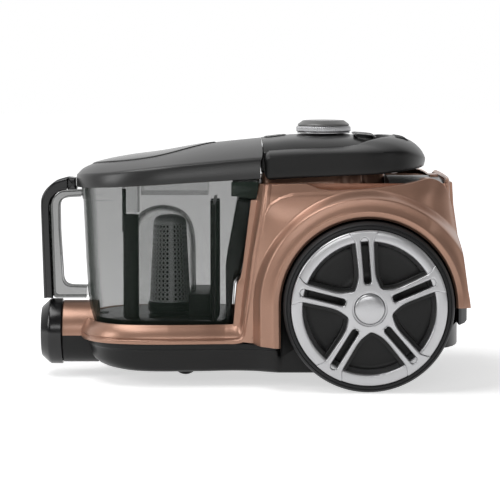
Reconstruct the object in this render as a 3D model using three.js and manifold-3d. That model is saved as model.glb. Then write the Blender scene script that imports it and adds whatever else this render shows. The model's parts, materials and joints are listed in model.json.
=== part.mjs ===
// Bagless canister vacuum cleaner, built as separate pieces in millimetres.
// +X points to the rear of the machine, -X to its hose inlet, +Z up. The origin is on the
// floor under the middle of the machine, so the two big wheels and the caster touch z = 0.
import * as THREE from 'three';
import { mergeVertices } from 'three/addons/utils/BufferGeometryUtils.js';
import Module from 'manifold-3d';

const wasm = await Module();
wasm.setup();

// ---------------------------------------------------------------- driving dimensions
const HALF_LENGTH = 218;
const HALF_WIDTH = 150;
const GAP = 0.3;              // clearance between pieces that touch
const WALL = 3;               // moulded wall thickness

const WHEEL = { x: 113, radius: 84, well: 87.5, wellInner: 100, spokes: 5, phase: 4.5 };
const BODY = { bottom: 43.5, deck: 193, halfWidth: 118, topHalfWidth: 97, cavity: 95 };
const TRAY = { nose: -177, shoulder: -85, halfWidth: 105, floor: 53, rim: 60.5, flare: 6.5 };
const PAN = { bottom: 14.5, top: 43.2, step: 37.5, halfWidth: 108 };
const BIN = { bottom: 54.6, halfWidth: 87, nose: -176, shoulder: -75, wall: 2.4 };
const LID = { nose: -181.3, rear: 7.4, halfWidth: 92, hingeX: -18, hingeZ: 234.5, pin: 2.5 };
const INLET = { z: 45, ring: 33.8, cover: 32, duct: 27, bore: 24, front: -218, joint: -196 };
const PANEL = { front: 10.6, rear: 135, halfWidth: 60, bottom: 212.3, turretTop: 212 };
const KNOB = { x: 72, radius: 27, ring: 28.2, bottom: 249.5, top: 263 };
const BAIL = { pivot: [31.5, 220], end: 20.3, inner: 63.5, outer: 88, rear: 176.5, pin: 5 };
const CASTER = { pivot: -78, trail: 8, radius: 13, pocket: 25 };
const MOTOR = { x0: 42, x1: 160, y: -42, z: 100, radius: 49 };
const REEL = { x: 105, y0: 14, y1: 84, z: 102, flange: 66, core: 30 };
const DOOR = { halfWidth: 70, bottom: 92, top: 203, thick: 4 };

// ---------------------------------------------------------------- materials
const material = (color, roughness, metalness = 0) =>
  new THREE.MeshStandardMaterial({ color, roughness, metalness });
const copper = () => material(0xa8806c, 0.38, 0.55);
const blackGloss = () => material(0x1c1c1d, 0.18);
const blackSatin = () => material(0x262626, 0.45);
const greySatin = () => material(0x5a5754, 0.5);
const silver = () => material(0xb9bbbc, 0.28, 0.85);
const rubber = () => material(0x2e2e2f, 0.8);
const steel = () => material(0x9a9c9e, 0.35, 0.9);
const foam = () => material(0x3f4a55, 0.95);
const board = () => material(0x2f5a3c, 0.6);
const paper = () => material(0xe2e0d8, 0.9);
const smoky = () => {
  const clear = material(0x6a6d68, 0.1);
  clear.transparent = true;
  clear.opacity = 0.45;
  return clear;
};

// ---------------------------------------------------------------- solids
// Turns a closed three.js geometry into a manifold solid: only positions are kept, equal
// vertices are merged, collapsed triangles dropped, and the faces turned to point outwards.
function solid(geometry) {
  const bare = geometry.clone();
  bare.deleteAttribute('normal');
  bare.deleteAttribute('uv');
  const merged = mergeVertices(bare, 1e-4);
  const position = merged.attributes.position;
  const index = merged.index.array;
  const kept = [];
  let volume = 0;
  const [a, b, c] = [new THREE.Vector3(), new THREE.Vector3(), new THREE.Vector3()];
  for (let i = 0; i < index.length; i += 3) {
    const [p, q, r] = [index[i], index[i + 1], index[i + 2]];
    if (p === q || q === r || r === p) continue;
    kept.push(p, q, r);
    a.fromBufferAttribute(position, p);
    b.fromBufferAttribute(position, q);
    c.fromBufferAttribute(position, r);
    volume += a.dot(b.cross(c));
  }
  if (volume < 0) kept.reverse();
  return new wasm.Manifold(new wasm.Mesh({
    numProp: 3,
    vertProperties: new Float32Array(position.array),
    triVerts: new Uint32Array(kept),
  }));
}

// The geometry of a manifold solid, for a named mesh.
function geometryOf(body) {
  const mesh = body.getMesh();
  const geometry = new THREE.BufferGeometry();
  geometry.setAttribute('position', new THREE.BufferAttribute(mesh.vertProperties, 3));
  geometry.setIndex(new THREE.BufferAttribute(mesh.triVerts, 1));
  geometry.computeVertexNormals();
  return geometry;
}

const join = (...bodies) => bodies.reduce((sum, body) => sum.add(body));
const cut = (body, ...tools) => tools.reduce((rest, tool) => rest.subtract(tool), body);
const common = (...bodies) => bodies.reduce((rest, body) => rest.intersect(body));

// How an extrusion's own x, y and z lie in the object for a section seen along each axis.
const BASIS = {
  x: [new THREE.Vector3(0, 1, 0), new THREE.Vector3(0, 0, 1), new THREE.Vector3(1, 0, 0)],
  y: [new THREE.Vector3(1, 0, 0), new THREE.Vector3(0, 0, 1), new THREE.Vector3(0, -1, 0)],
  z: [new THREE.Vector3(1, 0, 0), new THREE.Vector3(0, 1, 0), new THREE.Vector3(0, 0, 1)],
};

// Drops points that lie on the straight line between their neighbours.
function bends(points) {
  return points.filter(([u, v], i) => {
    const [pu, pv] = points.at(i - 1);
    const [nu, nv] = points[(i + 1) % points.length];
    return Math.abs((u - pu) * (nv - pv) - (v - pv) * (nu - pu)) > 1e-3;
  }).map(([u, v]) => new THREE.Vector2(u, v));
}

function shapeOf(points, holes = []) {
  const shape = new THREE.Shape(bends(points));
  shape.holes = holes.map((hole) => new THREE.Path(bends(hole)));
  return shape;
}

// A flat section pushed along x, y or z from one coordinate to another.
function prism(axis, points, from, to) {
  const geometry = new THREE.ExtrudeGeometry(shapeOf(points), {
    depth: to - from, bevelEnabled: false, steps: 1,
  });
  const [u, v, w] = BASIS[axis];
  geometry.applyMatrix4(new THREE.Matrix4().makeBasis(u, v, w));
  const start = { x: [from, 0, 0], y: [0, to, 0], z: [0, 0, from] }[axis];
  return solid(geometry.translate(...start));
}

const box = (x0, x1, y0, y1, z0, z1) => solid(
  new THREE.BoxGeometry(x1 - x0, y1 - y0, z1 - z0)
    .translate((x0 + x1) / 2, (y0 + y1) / 2, (z0 + z1) / 2),
);

// A closed [radius, height] profile turned about an axis through the given point.
function turned(axis, profile, centre = [0, 0, 0], segments = 24) {
  const closed = profile[0][0] > 0 ? [...profile, profile[0]] : profile;
  const geometry = new THREE.LatheGeometry(
    closed.map(([r, h]) => new THREE.Vector2(r, h)), segments);
  if (axis === 'z') geometry.rotateX(Math.PI / 2);
  if (axis === 'x') geometry.rotateZ(-Math.PI / 2);
  return solid(geometry.translate(...centre));
}

const disc = (axis, radius, from, to, centre = [0, 0, 0], segments = 24) =>
  turned(axis, [[0, from], [radius, from], [radius, to], [0, to]], centre, segments);

const ring = (axis, inner, outer, from, to, centre = [0, 0, 0], segments = 24) =>
  turned(axis, [[inner, from], [outer, from], [outer, to], [inner, to]], centre, segments);

// ---------------------------------------------------------------- outlines
// Quarter of a superellipse from the nose on the centre line to the full half width:
// x runs back from the nose, y grows to the half width; a larger power is blunter.
function nose(tip, shoulder, halfWidth, power, count = 9) {
  return Array.from({ length: count + 1 }, (_, i) => {
    const angle = (i / count) * Math.PI / 2;
    return [shoulder + (tip - shoulder) * Math.cos(angle) ** (2 / power),
      halfWidth * Math.sin(angle) ** (2 / power)];
  });
}

// Mirrors one side of a plan, given from the front centre to the rear centre.
function mirrored(side) {
  const other = side.filter(([, y]) => y > 0.01).reverse().map(([x, y]) => [x, -y]);
  return [...side, ...other];
}

const cornerArc = (cx, cy, radius, from, to, count = 6) =>
  Array.from({ length: count + 1 }, (_, i) => {
    const angle = THREE.MathUtils.degToRad(from + ((to - from) * i) / count);
    return [cx + radius * Math.cos(angle), cy + radius * Math.sin(angle)];
  });

// A plan outline raised between a floor and a crowned top. The height is split at the
// shoulder: below it the wall is upright, above it the edge rolls in by the inset.
function loaf(outline, { inset, shoulder, segments, floor, crown }) {
  const geometry = new THREE.ExtrudeGeometry(shapeOf(outline), {
    depth: shoulder,
    steps: 1,
    bevelEnabled: true,
    bevelThickness: 1 - shoulder,
    bevelSize: inset,
    bevelOffset: -inset,
    bevelSegments: segments,
  });
  const position = geometry.attributes.position;
  for (let i = 0; i < position.count; i += 1) {
    const [x, y] = [position.getX(i), position.getY(i)];
    const height = Math.max(0, position.getZ(i));
    position.setZ(i, floor(x, y) + height * (crown(x, y) - floor(x, y)));
  }
  return solid(geometry);
}

// Straight-line interpolation through a short table of [x, z] stations.
function through(stations) {
  return (x) => {
    const last = stations.length - 1;
    if (x <= stations[0][0]) return stations[0][1];
    for (let i = 1; i <= last; i += 1) {
      const [x0, z0] = stations[i - 1];
      const [x1, z1] = stations[i];
      if (x <= x1) return z0 + ((z1 - z0) * (x - x0)) / (x1 - x0);
    }
    return stations[last][1];
  };
}

// Plan of the tray and pan: blunt nose, slight waist, then out to the wheel arches.
const lowerPlan = (grow = 0) => mirrored([
  ...nose(TRAY.nose - grow, TRAY.shoulder, TRAY.halfWidth + grow, 2.9),
  [-50, 102.5 + grow], [-20, 98 + grow], [0, 101 + grow], [22, 112 + grow],
  [40, BODY.halfWidth + grow], [60, BODY.halfWidth + grow],
  ...nose(213.6 + grow, 150, BODY.halfWidth + grow, 3).reverse(),
]);

// Front face of the rear body, leaning back: x at a given height.
const bayFaceX = (z) => -8 + ((z - 53) * 19) / 149;

// Back of the bin seen from the side, tucked in under the body's front face.
const binBack = [[-19.5, BIN.bottom], [-18.5, 90], [-14, 100], [-8, 112], [4.6, 190], [4.6, 215]];

// Rear of the body seen from the side: x at a given height.
const rearX = through([[20, 186], [31, 201], [48, 209.6], [63, 211], [82, 213.4], [97, 211],
  [137, 206.5], [181, 200], [207.6, 198.4]]);

// Plan of the bin wall with its top outline narrowed by a margin.
const binPlan = (tip, rear, halfWidth) => mirrored([
  ...nose(tip, BIN.shoulder, halfWidth, 2.2),
  [rear - 14, halfWidth], [rear - 4, halfWidth - 3], [rear, halfWidth - 14], [rear, 0],
]);

const lidPlan = (margin = 0, rear = LID.rear) => mirrored([
  ...nose(LID.nose + margin, -73, LID.halfWidth - margin, 2.25),
  [rear, LID.halfWidth - margin], [rear, 0],
]);

const panelPlan = (grow = 0, front = PANEL.front) => mirrored([
  [front, 0], [front, PANEL.halfWidth + grow],
  ...nose(PANEL.rear + grow, 70, PANEL.halfWidth + grow, 2.3).reverse(),
]);

const lidBottom = through([[-181, 195.6], [-121, 199.6], [-73, 202.9], [8, 207.7]]);
const lidCrown = through([[-182, 206.5], [-174, 214], [-158, 220.4], [-125, 227],
  [-97, 231], [-45, 239.3], [8, 244.9], [80, 252.5]]);
const panelCrown = through([[-10, 243.5], [10, 245.3], [45, 248.8], [112, 249.2], [132, 243.5], [136, 239]]);

// ---------------------------------------------------------------- scene graph
const vacuum = new THREE.Group();

function place(name, body, look, group = vacuum) {
  const mesh = new THREE.Mesh(geometryOf(body), look);
  mesh.name = name;
  group.add(mesh);
  return mesh;
}

const wheelHole = (side, radius, from) =>
  disc('y', radius, side > 0 ? from : -170, side > 0 ? 170 : -from, [WHEEL.x, 0, WHEEL.radius], 36);

// ---------------------------------------------------------------- chassis pan
// Cross-section of the pan: it steps in below the seam and tucks in towards the underside.
const panSection = (shrink) => {
  const side = [[96, 0], [96, PAN.bottom], [103, PAN.step], [PAN.halfWidth, PAN.step + 0.8],
    [PAN.halfWidth, 72]].map(([y, z]) => [y - shrink, z]);
  return [...side, ...side.map(([y, z]) => [-y, z]).reverse()];
};

function chassisPan() {
  const profile = [[-170, PAN.top], [-166, 26], [-158, 18], [-146, PAN.bottom], [150, PAN.bottom],
    [188, 25], [200, 31], [209, 48], [211, 61.5], [190, 61.5], [172, PAN.top]];
  const outer = common(prism('z', lowerPlan(-2), PAN.bottom, 62),
    prism('y', profile, -140, 140), prism('x', panSection(0), -200, 230));
  const innerProfile = [[-162, 70], [-160, 28], [-150, PAN.bottom + WALL],
    [150, PAN.bottom + WALL], [186, 29], [197, 34], [205, 49], [207, 70]];
  const inner = cut(
    common(prism('z', lowerPlan(-2 - WALL), PAN.bottom, 71), prism('y', innerProfile, -140, 140),
      prism('x', panSection(WALL), -200, 230)),
    wheelHole(1, WHEEL.well + WALL, WHEEL.wellInner - 4),
    wheelHole(-1, WHEEL.well + WALL, WHEEL.wellInner - 4));
  const pivot = [CASTER.pivot, 0, 0];
  const halfTube = common(ring('x', INLET.duct + 0.4, INLET.cover, INLET.joint, -160,
    [0, 0, INLET.z]), box(-200, -150, -40, 40, 0, PAN.top));
  const shell = cut(join(cut(outer, inner), disc('z', CASTER.pocket + WALL, PAN.bottom + 1, 38, pivot)),
    wheelHole(1, WHEEL.well, WHEEL.wellInner), wheelHole(-1, WHEEL.well, WHEEL.wellInner),
    disc('z', CASTER.pocket, 0, 35, pivot),
    disc('x', INLET.duct + 0.4, -230, -150, [0, 0, INLET.z]));
  return cut(join(shell, halfTube), disc('x', 7, 190, 230, [0, 40, 46], 16));
}

// ---------------------------------------------------------------- copper body shell
// Wall behind the bin, following the bin's back with a little play; the side panels stand
// further back, so this wall shows as a recessed bay between bin and side panel.
const BAY_PLAY = 1.3;
const bayWall = (thickness, halfWidth, bottom) => prism('y', [
  [binBack[0][0] + BAY_PLAY + thickness, bottom],
  ...binBack.slice(1, -1).map(([x, z]) => [x + BAY_PLAY + thickness, z]),
  ...(thickness ? [] : [[binBack.at(-1)[0] + BAY_PLAY, 202]]),
  [thickness ? 30 : bayFaceX(202) + 1, thickness ? 190 : 202], [thickness ? 30 : 2, bottom],
], -halfWidth, halfWidth);

const bodySection = [[-BODY.halfWidth, 40], [-BODY.halfWidth, 130], [-112, 165],
  [-BODY.topHalfWidth - 2, 200], [-BODY.topHalfWidth, 212]];

function bodyShell() {
  const sectionRing = [...bodySection, ...bodySection.map(([y, z]) => [-y, z]).reverse()];
  const sideOutline = [[bayFaceX(BODY.bottom), BODY.bottom], [bayFaceX(202), 202], [58, 203.4],
    [64, 198.5], [70, 196.8], [92, 196.6], [130, 199.5], [156, 203.2], [174, 207.2],
    [rearX(207.6), 207.6], [rearX(181), 181], [rearX(137), 137], [rearX(97), 97],
    [rearX(82), 82], [203, 82], [190, 61.8], [172, BODY.bottom]];
  const flareProfile = [[86, 90], [86, 131.5], [93, 131.5], [104, 126], [124, 98], [124, 90]];
  const flares = [1, -1].map((side) => turned('y', flareProfile.map(([r, y]) => [r, y * side]),
    [WHEEL.x, 0, WHEEL.radius], 36));
  const block = common(
    join(common(prism('z', lowerPlan(), 40, 212), prism('x', sectionRing, -40, 230)), ...flares),
    prism('y', sideOutline, -HALF_WIDTH, HALF_WIDTH));
  const innerOutline = [[bayFaceX(30) + WALL, 30], [bayFaceX(190) + WALL, 190], [200, 190],
    [rearX(181) - 4, 181], [rearX(137) - 4, 137], [rearX(97) - 4, 97], [rearX(70) - 4, 70],
    [205, 30]];
  const hollow = cut(
    common(prism('y', innerOutline, -HALF_WIDTH, HALF_WIDTH), prism('z', lowerPlan(-WALL), 30, 190),
      prism('x', sectionRing.map(([y, z]) => [y - Math.sign(y) * WALL, z - 4]), -40, 230)),
    wheelHole(1, WHEEL.well + WALL, WHEEL.wellInner - 4),
    wheelHole(-1, WHEEL.well + WALL, WHEEL.wellInner - 4));
  const turretSide = [[14, 0], [14, 60], ...cornerArc(87, 54, 6, 90, 0, 3),
    ...cornerArc(104, 39, 6, 90, 0, 3), [110, 25], ...cornerArc(128, 19, 6, 90, 0, 3), [134, 0]];
  const turret = prism('z', mirrored(turretSide), BODY.deck - 4, PANEL.turretTop);
  const turretHollow = prism('z', mirrored([[20, 0], [20, 57], [84, 57], [90, 51], [90, 36],
    [106, 36], [106, 20], [130, 16], [130, 0]]), 180, 220);
  const recess = box(bayFaceX(202) + 5, 190, -91.5, 91.5, BODY.deck, 230);
  const rear = cut(join(block, bayWall(0, 94, 50)), hollow, bayWall(WALL, 91, 40), recess);
  const tray = trayShell();
  const doorway = box(192, 230, -DOOR.halfWidth - GAP, DOOR.halfWidth + GAP,
    DOOR.bottom - GAP, DOOR.top + GAP);
  const airWindow = box(-20, 20, -34, 34, 112, 158);
  return cut(join(rear, tray, turret), turretHollow, doorway, airWindow,
    wheelHole(1, WHEEL.well, WHEEL.wellInner), wheelHole(-1, WHEEL.well, WHEEL.wellInner));
}

// Tray round the foot of the bin: a lip at the seam, a flared wall up to the rim and a
// floor for the bin, open below so that the air duct passes under it.
function trayShell() {
  const trayEnd = 12;
  const lower = (grow) => lowerPlan(grow).filter(([x]) => x < 1);
  const outline = (grow) => {
    const half = lower(grow).filter(([, y]) => y >= 0);
    return mirrored([...half, [trayEnd, half.at(-1)[1] + 3], [trayEnd, 0]]);
  };
  const lip = prism('z', outline(0), BODY.bottom, 47);
  const wall = loaf(outline(-0.8), {
    inset: TRAY.flare, shoulder: 0.08, segments: 2,
    floor: () => BODY.bottom + 1, crown: () => TRAY.rim,
  });
  const pocket = prism('z', binPlan(-167.2, -13, BIN.halfWidth - 1.5), TRAY.floor, 70);
  const under = prism('z', outline(-TRAY.flare - 3), 30, TRAY.floor - WALL);
  const behind = prism('y', [[bayFaceX(30) + WALL, 30], [bayFaceX(70) + WALL, 70], [40, 70],
    [40, 30]], -BODY.cavity, BODY.cavity);
  const inletHole = disc('x', INLET.cover + GAP, -230, -162, [0, 0, INLET.z]);
  const portHole = disc('z', 14.3, 40, 60, [-124.5, -32, 0], 24);
  return cut(join(lip, wall), pocket, under, behind, inletHole, portHole);
}

// ---------------------------------------------------------------- top of the body
function rearDeck() {
  const crown = Array.from({ length: 11 }, (_, i) => {
    const y = 91 - i * 18.2;
    return [y, 205.3 - 7 * (y / 91) ** 2];
  });
  const plate = prism('x', [[-91, BODY.deck + GAP], [91, BODY.deck + GAP], ...crown], 136, 189.6);
  const under = box(140, 186, -86, 86, BODY.deck, 196.5);
  const latchNotch = box(179.6, 197, -13, 13, BODY.deck, 210);
  return cut(plate, under, latchNotch);
}

const exhaustLatch = () => box(180.2, 189.3, -12.3, 12.3, 197, 207.6);

function panelLoaf(shrink, bottom) {
  const whole = loaf(panelPlan(-shrink, PANEL.front - 20), {
    inset: 14, shoulder: 0.66, segments: 2, floor: () => bottom, crown: (x) => panelCrown(x) - shrink,
  });
  return cut(whole, box(-40, PANEL.front + shrink, -90, 90, 190, 270));
}

const BUTTONS = [
  { name: 'bin_release_button', x0: 13.5, x1: 31, y0: -11, y1: 11 },
  { name: 'power_button', x0: 105, x1: 122, y0: 6, y1: 31 },
  { name: 'rewind_button', x0: 105, x1: 122, y0: -31, y1: -6 },
];

function buttonBody({ x0, x1, y0, y1 }, grow, bottom, lift) {
  const [cx, cy, half] = [x1 - 8, (y0 + y1) / 2, (y1 - y0) / 2];
  const outline = [[x0, y0 + 3], [x0 + 3, y0], ...cornerArc(cx, cy - half + 8, 8, -90, 0, 4),
    ...cornerArc(cx, cy + half - 8, 8, 0, 90, 4), [x0 + 3, y1], [x0, y1 - 3]];
  const centre = [(x0 + x1) / 2, cy];
  const scaled = outline.map(([x, y]) => [
    x + Math.sign(x - centre[0]) * grow, y + Math.sign(y - centre[1]) * grow]);
  const crown = [[x0 - 2, panelCrown(x0 - 2) + lift], [cx, panelCrown(cx) + lift],
    [x1 + 2, panelCrown(x1 + 2) + lift]];
  return common(prism('z', scaled, bottom, 260),
    prism('y', [[x0 - 2, bottom], ...crown, [x1 + 2, bottom]], -40, 40));
}

function controlPanel() {
  const shell = cut(panelLoaf(0, PANEL.bottom), panelLoaf(WALL, PANEL.bottom - 5));
  const [px, pz] = BAIL.pivot;
  return cut(shell, disc('z', 4.5, 230, 260, [KNOB.x, 0, 0], 20),
    ...BUTTONS.map((button) => buttonBody(button, 0.4, 225, 6)),
    disc('y', BAIL.pin + GAP, -62, 62, [px, 0, pz], 14));
}

const controlBoard = () => join(box(48, 98, -26, 26, 221, 223),
  disc('z', 9, 222.5, 230, [KNOB.x, 0, 0], 20));

// ---------------------------------------------------------------- knob
const knobAt = [KNOB.x, 0, 0];
const knobBody = () => turned('z', [[0, 231], [3, 231], [3, KNOB.bottom], [KNOB.radius, KNOB.bottom],
  [KNOB.radius, 251], [0, 251]], knobAt);
const knobRing = () => turned('z', [[20, 251.3], [KNOB.ring, 251.3], [KNOB.ring, 256], [27, 257],
  [20, 257]], knobAt);
const knobCap = () => turned('z', [[0, 257.3], [26.6, 257.3], [26.2, 259], [20.5, 262.5],
  [0, KNOB.top]], knobAt);

// ---------------------------------------------------------------- carry handle
const bailBottom = through([[11, 205.6], [174, 215.6]]);
const bailCrown = through([[11, 234], [60, 237], [100, 241], [136, 246.6], [151, 245.4],
  [158, 243.6], [168, 236], [176.5, 224]]);
const bailLoaf = (lift) => loaf(mirrored([[-15, 0], [-15, BAIL.outer],
  ...nose(BAIL.rear, 95, BAIL.outer, 2.5).reverse()]), {
  inset: 22, shoulder: 0.78, segments: 2, floor: bailBottom, crown: (x) => bailCrown(x) + lift,
});

function carryHandle() {
  const [px, pz] = BAIL.pivot;
  const opening = prism('z', mirrored([[0, 0], [0, BAIL.inner],
    ...nose(139.4, 72, BAIL.inner, 2.3).reverse()]), 190, 260);
  const side = prism('y', [[px, 200], [180, 200], [180, 260], [px, 260],
    ...cornerArc(px, pz, BAIL.end, 90, 270, 12)], -100, 100);
  const pins = disc('y', BAIL.pin + GAP, -80, 80, [px, 0, pz], 14);
  const gripSeat = cut(box(141.7, 158.3, -32.3, 32.3, 230, 260), bailLoaf(-2.3));
  return cut(common(cut(bailLoaf(0), opening), side), pins, gripSeat);
}

const handleGrip = () => common(
  cut(bailLoaf(0.6), bailLoaf(-2)), box(142, 158, -32, 32, 232, 260));

function handlePin(side) {
  const [px, pz] = BAIL.pivot;
  const span = (from, to) => (side > 0 ? [from, to] : [-to, -from]);
  return join(disc('y', BAIL.pin, ...span(55, 79.6), [px, 0, pz], 14),
    disc('y', 8, ...span(53, 56.6), [px, 0, pz], 14));
}

// ---------------------------------------------------------------- hose inlet
const inletAt = [0, 0, INLET.z];
const hoseRing = () => turned('x', [[23.5, INLET.front], [25.4, INLET.front],
  [INLET.ring, -209], [INLET.ring, INLET.joint - GAP], [INLET.duct + 0.4, INLET.joint - GAP],
  [INLET.duct + 0.4, -212], [23.5, -212]], inletAt, 32);

const inletCover = () => common(ring('x', INLET.duct + 0.4, INLET.cover, INLET.joint, -160, inletAt, 32),
  prism('y', [[-200, BODY.bottom], [-200, 80], [-172.4, 80], [-166.4, 56], [-165, BODY.bottom]],
    -40, 40));

const PORT = [-124.5, -32, 0];
function inletDuct() {
  const outer = join(cut(disc('x', INLET.duct, -211.7, -146, inletAt),
    box(-172.6, -140, -40, 40, 49.7, 80)), box(-149, -108, -46, 46, 17.8, 47.7));
  const inner = join(cut(disc('x', INLET.bore, -214, -144, inletAt),
    box(-174.6, -140, -40, 40, 45.5, 80)), box(-147, -110, -44, 44, 19.8, 45.5));
  return cut(outer, inner, disc('z', 9, 40, 50, PORT, 20));
}
const inletSeal = () => ring('z', 9.4, 14, 48, 54.3, PORT, 24);

// ---------------------------------------------------------------- bin and separator
const binRim = (x) => lidBottom(x) + 1.2;
const binFrontX = through([[BIN.bottom, -163.8], [77, -169.6], [97, -170.6], [180, -174.4],
  [215, BIN.nose]]);
const binSide = through([[BIN.bottom, 81.5], [77, 85], [215, BIN.halfWidth]]);

// The bin's plan carried up from its foot, drawn in towards the foot at the front and sides.
function binBody(margin, bottom, top) {
  const steps = 5;
  const geometry = new THREE.ExtrudeGeometry(
    shapeOf(binPlan(BIN.nose, 5 - margin, BIN.halfWidth)),
    { depth: top - bottom, steps, bevelEnabled: false });
  geometry.translate(0, 0, bottom);
  const position = geometry.attributes.position;
  for (let i = 0; i < position.count; i += 1) {
    const [x, y, z] = [position.getX(i), position.getY(i), position.getZ(i)];
    const reach = (binFrontX(z) + margin - BIN.shoulder) / (BIN.nose - BIN.shoulder);
    if (x < BIN.shoulder) position.setX(i, BIN.shoulder + (x - BIN.shoulder) * reach);
    position.setY(i, (y * (binSide(z) - margin)) / BIN.halfWidth);
  }
  const back = prism('y', [[-190, bottom], ...binBack.map(([x, z]) => [x - margin, z]), [-190, 215]],
    -100, 100);
  return common(solid(geometry), back);
}

function binShell() {
  const t = BIN.wall;
  const below = prism('y', [[-190, 50], [10, 50], [10, binRim(10)], [-190, binRim(-190)]], -100, 100);
  return cut(common(binBody(0, BIN.bottom, 214), below), binBody(t, BIN.bottom + t, 214.9),
    disc('z', 6, 50, 60, PORT, 20), box(-20, 20, -34, 34, 112, 158));
}

const gripOuter = [[-191, 204.2], [-203.6, 200.6], [-212.6, 192.6], [-217.2, 184.6],
  [-HALF_LENGTH, 176.5], [-217.2, 149], [-215.4, 80.4]];
const gripInner = [[-191, 191.8], [-198.4, 190.5], [-206.3, 183.7], [-209, 176.5], [-208.2, 149.5],
  [-205.6, 80.4]];
const frameInner = [[-176.2, 185], [-190, 184.4], [-196.3, 182], [-199, 177], [-198.7, 149.5],
  [-195.7, 97.6], [-190.4, 92.9], [-171.2, 92.2], [-170.4, 80.4]];
const binHandleGrip = () => prism('y', [...gripOuter, ...[...gripInner].reverse()], -15, 15);
const binHandleFrame = () => cut(
  prism('y', [[-176.2, 188.8], [-191, 188.8], ...gripInner.slice(1).map(([x, z]) => [x + 0.35, z - 0.2]),
    [-205.2, 80.4], [-171.4, 80.4], ...[...frameInner].reverse().slice(1)], -12.5, 12.5));

const inletTube = () => join(ring('z', 6, 8, BIN.bottom + BIN.wall + GAP, 168, PORT, 24),
  disc('z', 2, 150, 194, [PORT[0] - 6.9, PORT[1], 0], 8));
const bellAt = [-93, 0, 0];
const bellProfile = (r, top) => [[r, 57.3], [r - 0.8, 140], [r - 3.4, 154], [r - 10.5, top - 9],
  [r - 22, top - 2], [0, top]];
const cycloneBell = () => turned('z', [...bellProfile(34.3, 175.8),
  ...bellProfile(32.3, 173.8).reverse()], bellAt, 20);
const filterAt = [-86, 0, 0];
const meshFilter = () => turned('z', [[19.4, 76.4], [21, 76.4], [17.3, 156], [15, 162.5],
  [9, 165.6], [0, 166.2], [0, 164.6], [8.4, 164], [13.8, 161.3], [15.8, 156]], filterAt, 20);
const filterBase = () => turned('z', [[0, 57.3], [21, 57.3], [21, 67], [22.7, 67.4],
  [22.7, 76], [0, 76]], filterAt, 20);
const separatorWall = () => prism('z', [[-44, -20], [-44, -8], [-41, -8], [-41, 8], [-44, 8],
  [-44, 20], [-41, 20], [-41, 76], [-38, 76], [-38, 20], [-34.5, 20], [-34.5, 8], [-38, 8],
  [-38, -8], [-34.5, -8], [-34.5, -20], [-38, -20], [-38, -76], [-41, -76], [-41, -20]], 57.3, 181);

function lidHingeBlock() {
  const [hx, hz] = [LID.hingeX, LID.hingeZ];
  const web = prism('y', [[hx - 5, 209.4], [hx + 8, 210], [hx + 8, 212.5], [hx + 3.6, 218], [hx + 3.6, hz],
    ...cornerArc(hx, hz, 3.6, 0, 180, 6), [hx - 3.6, 214]], -26, 26);
  return join(web, disc('y', LID.pin, -35, 35, [hx, 0, hz], 12));
}

// ---------------------------------------------------------------- lid
const lidLoaf = (margin, lift, rear) => cut(loaf(lidPlan(margin, rear + 62), {
  inset: 62,
  shoulder: 0.5,
  segments: 4,
  floor: (x) => (margin > 0 ? lidBottom(x) - 3 : lidBottom(x)),
  crown: (x) => lidCrown(x) + lift,
}), box(rear, 150, -120, 120, 150, 300));

function binLid() {
  const shell = cut(lidLoaf(0, 0, LID.rear), lidLoaf(2.6, -2.6, LID.rear + 6));
  const [hx, hz] = [LID.hingeX, LID.hingeZ];
  const lug = (y0, y1) => cut(common(box(hx - 5, hx + 5, y0, y1, hz - 5, 250),
    lidLoaf(1, -1, LID.rear)), disc('y', LID.pin + GAP, -90, 90, [hx, 0, hz], 16));
  return join(shell, lug(28, 35), lug(-35, -28));
}

const slantedSlab = (low, high, x0, x1) => prism('y', [[x0, lidBottom(x0) + low],
  [-121, lidBottom(-121) + low], [x1, lidBottom(x1) + low], [x1, lidBottom(x1) + high],
  [-121, lidBottom(-121) + high], [x0, lidBottom(x0) + high]], -95, 95);

const LINER_REAR = -26;
const lidLiner = () => join(
  common(prism('z', lidPlan(4.6, LINER_REAR), 180, 230), slantedSlab(4, 6, -185, LINER_REAR)),
  box(-114, -46, -38, 38, 188, 206));
const lidSeal = () => cut(
  common(prism('z', binPlan(BIN.nose - 0.5, LINER_REAR, BIN.halfWidth + 0.5), 180, 230),
    slantedSlab(1.5, 3.7, -185, 0)),
  prism('z', binPlan(BIN.nose + 6, LINER_REAR - 6, BIN.halfWidth - 6), 170, 240));
const lensPlan = mirrored(Array.from({ length: 13 }, (_, i) => {
  const t = i / 12;
  return [-166 + 128 * t, 46 * Math.sin(Math.PI * t ** 0.8)];
}));
const lidInlay = () => common(cut(lidLoaf(0, 1.2, LID.rear), lidLoaf(0, GAP, LID.rear)),
  prism('z', lensPlan, 205, 260));
const lidLatch = () => box(-190.7, -183.4, -11, 11, 191.8, 204.8);

// ---------------------------------------------------------------- air path and cord reel
const motorAt = [0, MOTOR.y, MOTOR.z];
const motorHousing = () => turned('x', [[20, MOTOR.x0], [MOTOR.radius, MOTOR.x0],
  [MOTOR.radius, MOTOR.x1], [46.5, MOTOR.x1], [46.5, MOTOR.x0 + 2.5], [20, MOTOR.x0 + 2.5]], motorAt);
const suctionMotor = () => turned('x', [[0, 53.5], [43, 53.5], [43, 80], [30, 84], [30, 140],
  [8, 140], [8, 148], [0, 148]], motorAt);
const impeller = () => turned('x', [[0, 46.6], [9, 46.6], [38, 50], [38, 53], [0, 53]], motorAt);
const frontMount = () => ring('x', 43.3, 46.2, 60, 74, motorAt);
const rearMount = () => ring('x', 30.3, 46.2, 120, 130, motorAt);
const preFilter = () => box(15, 27, -42, 42, 102, 168);
const hepaFilter = () => box(178, 193, -62, 62, 100, 172);

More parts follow.
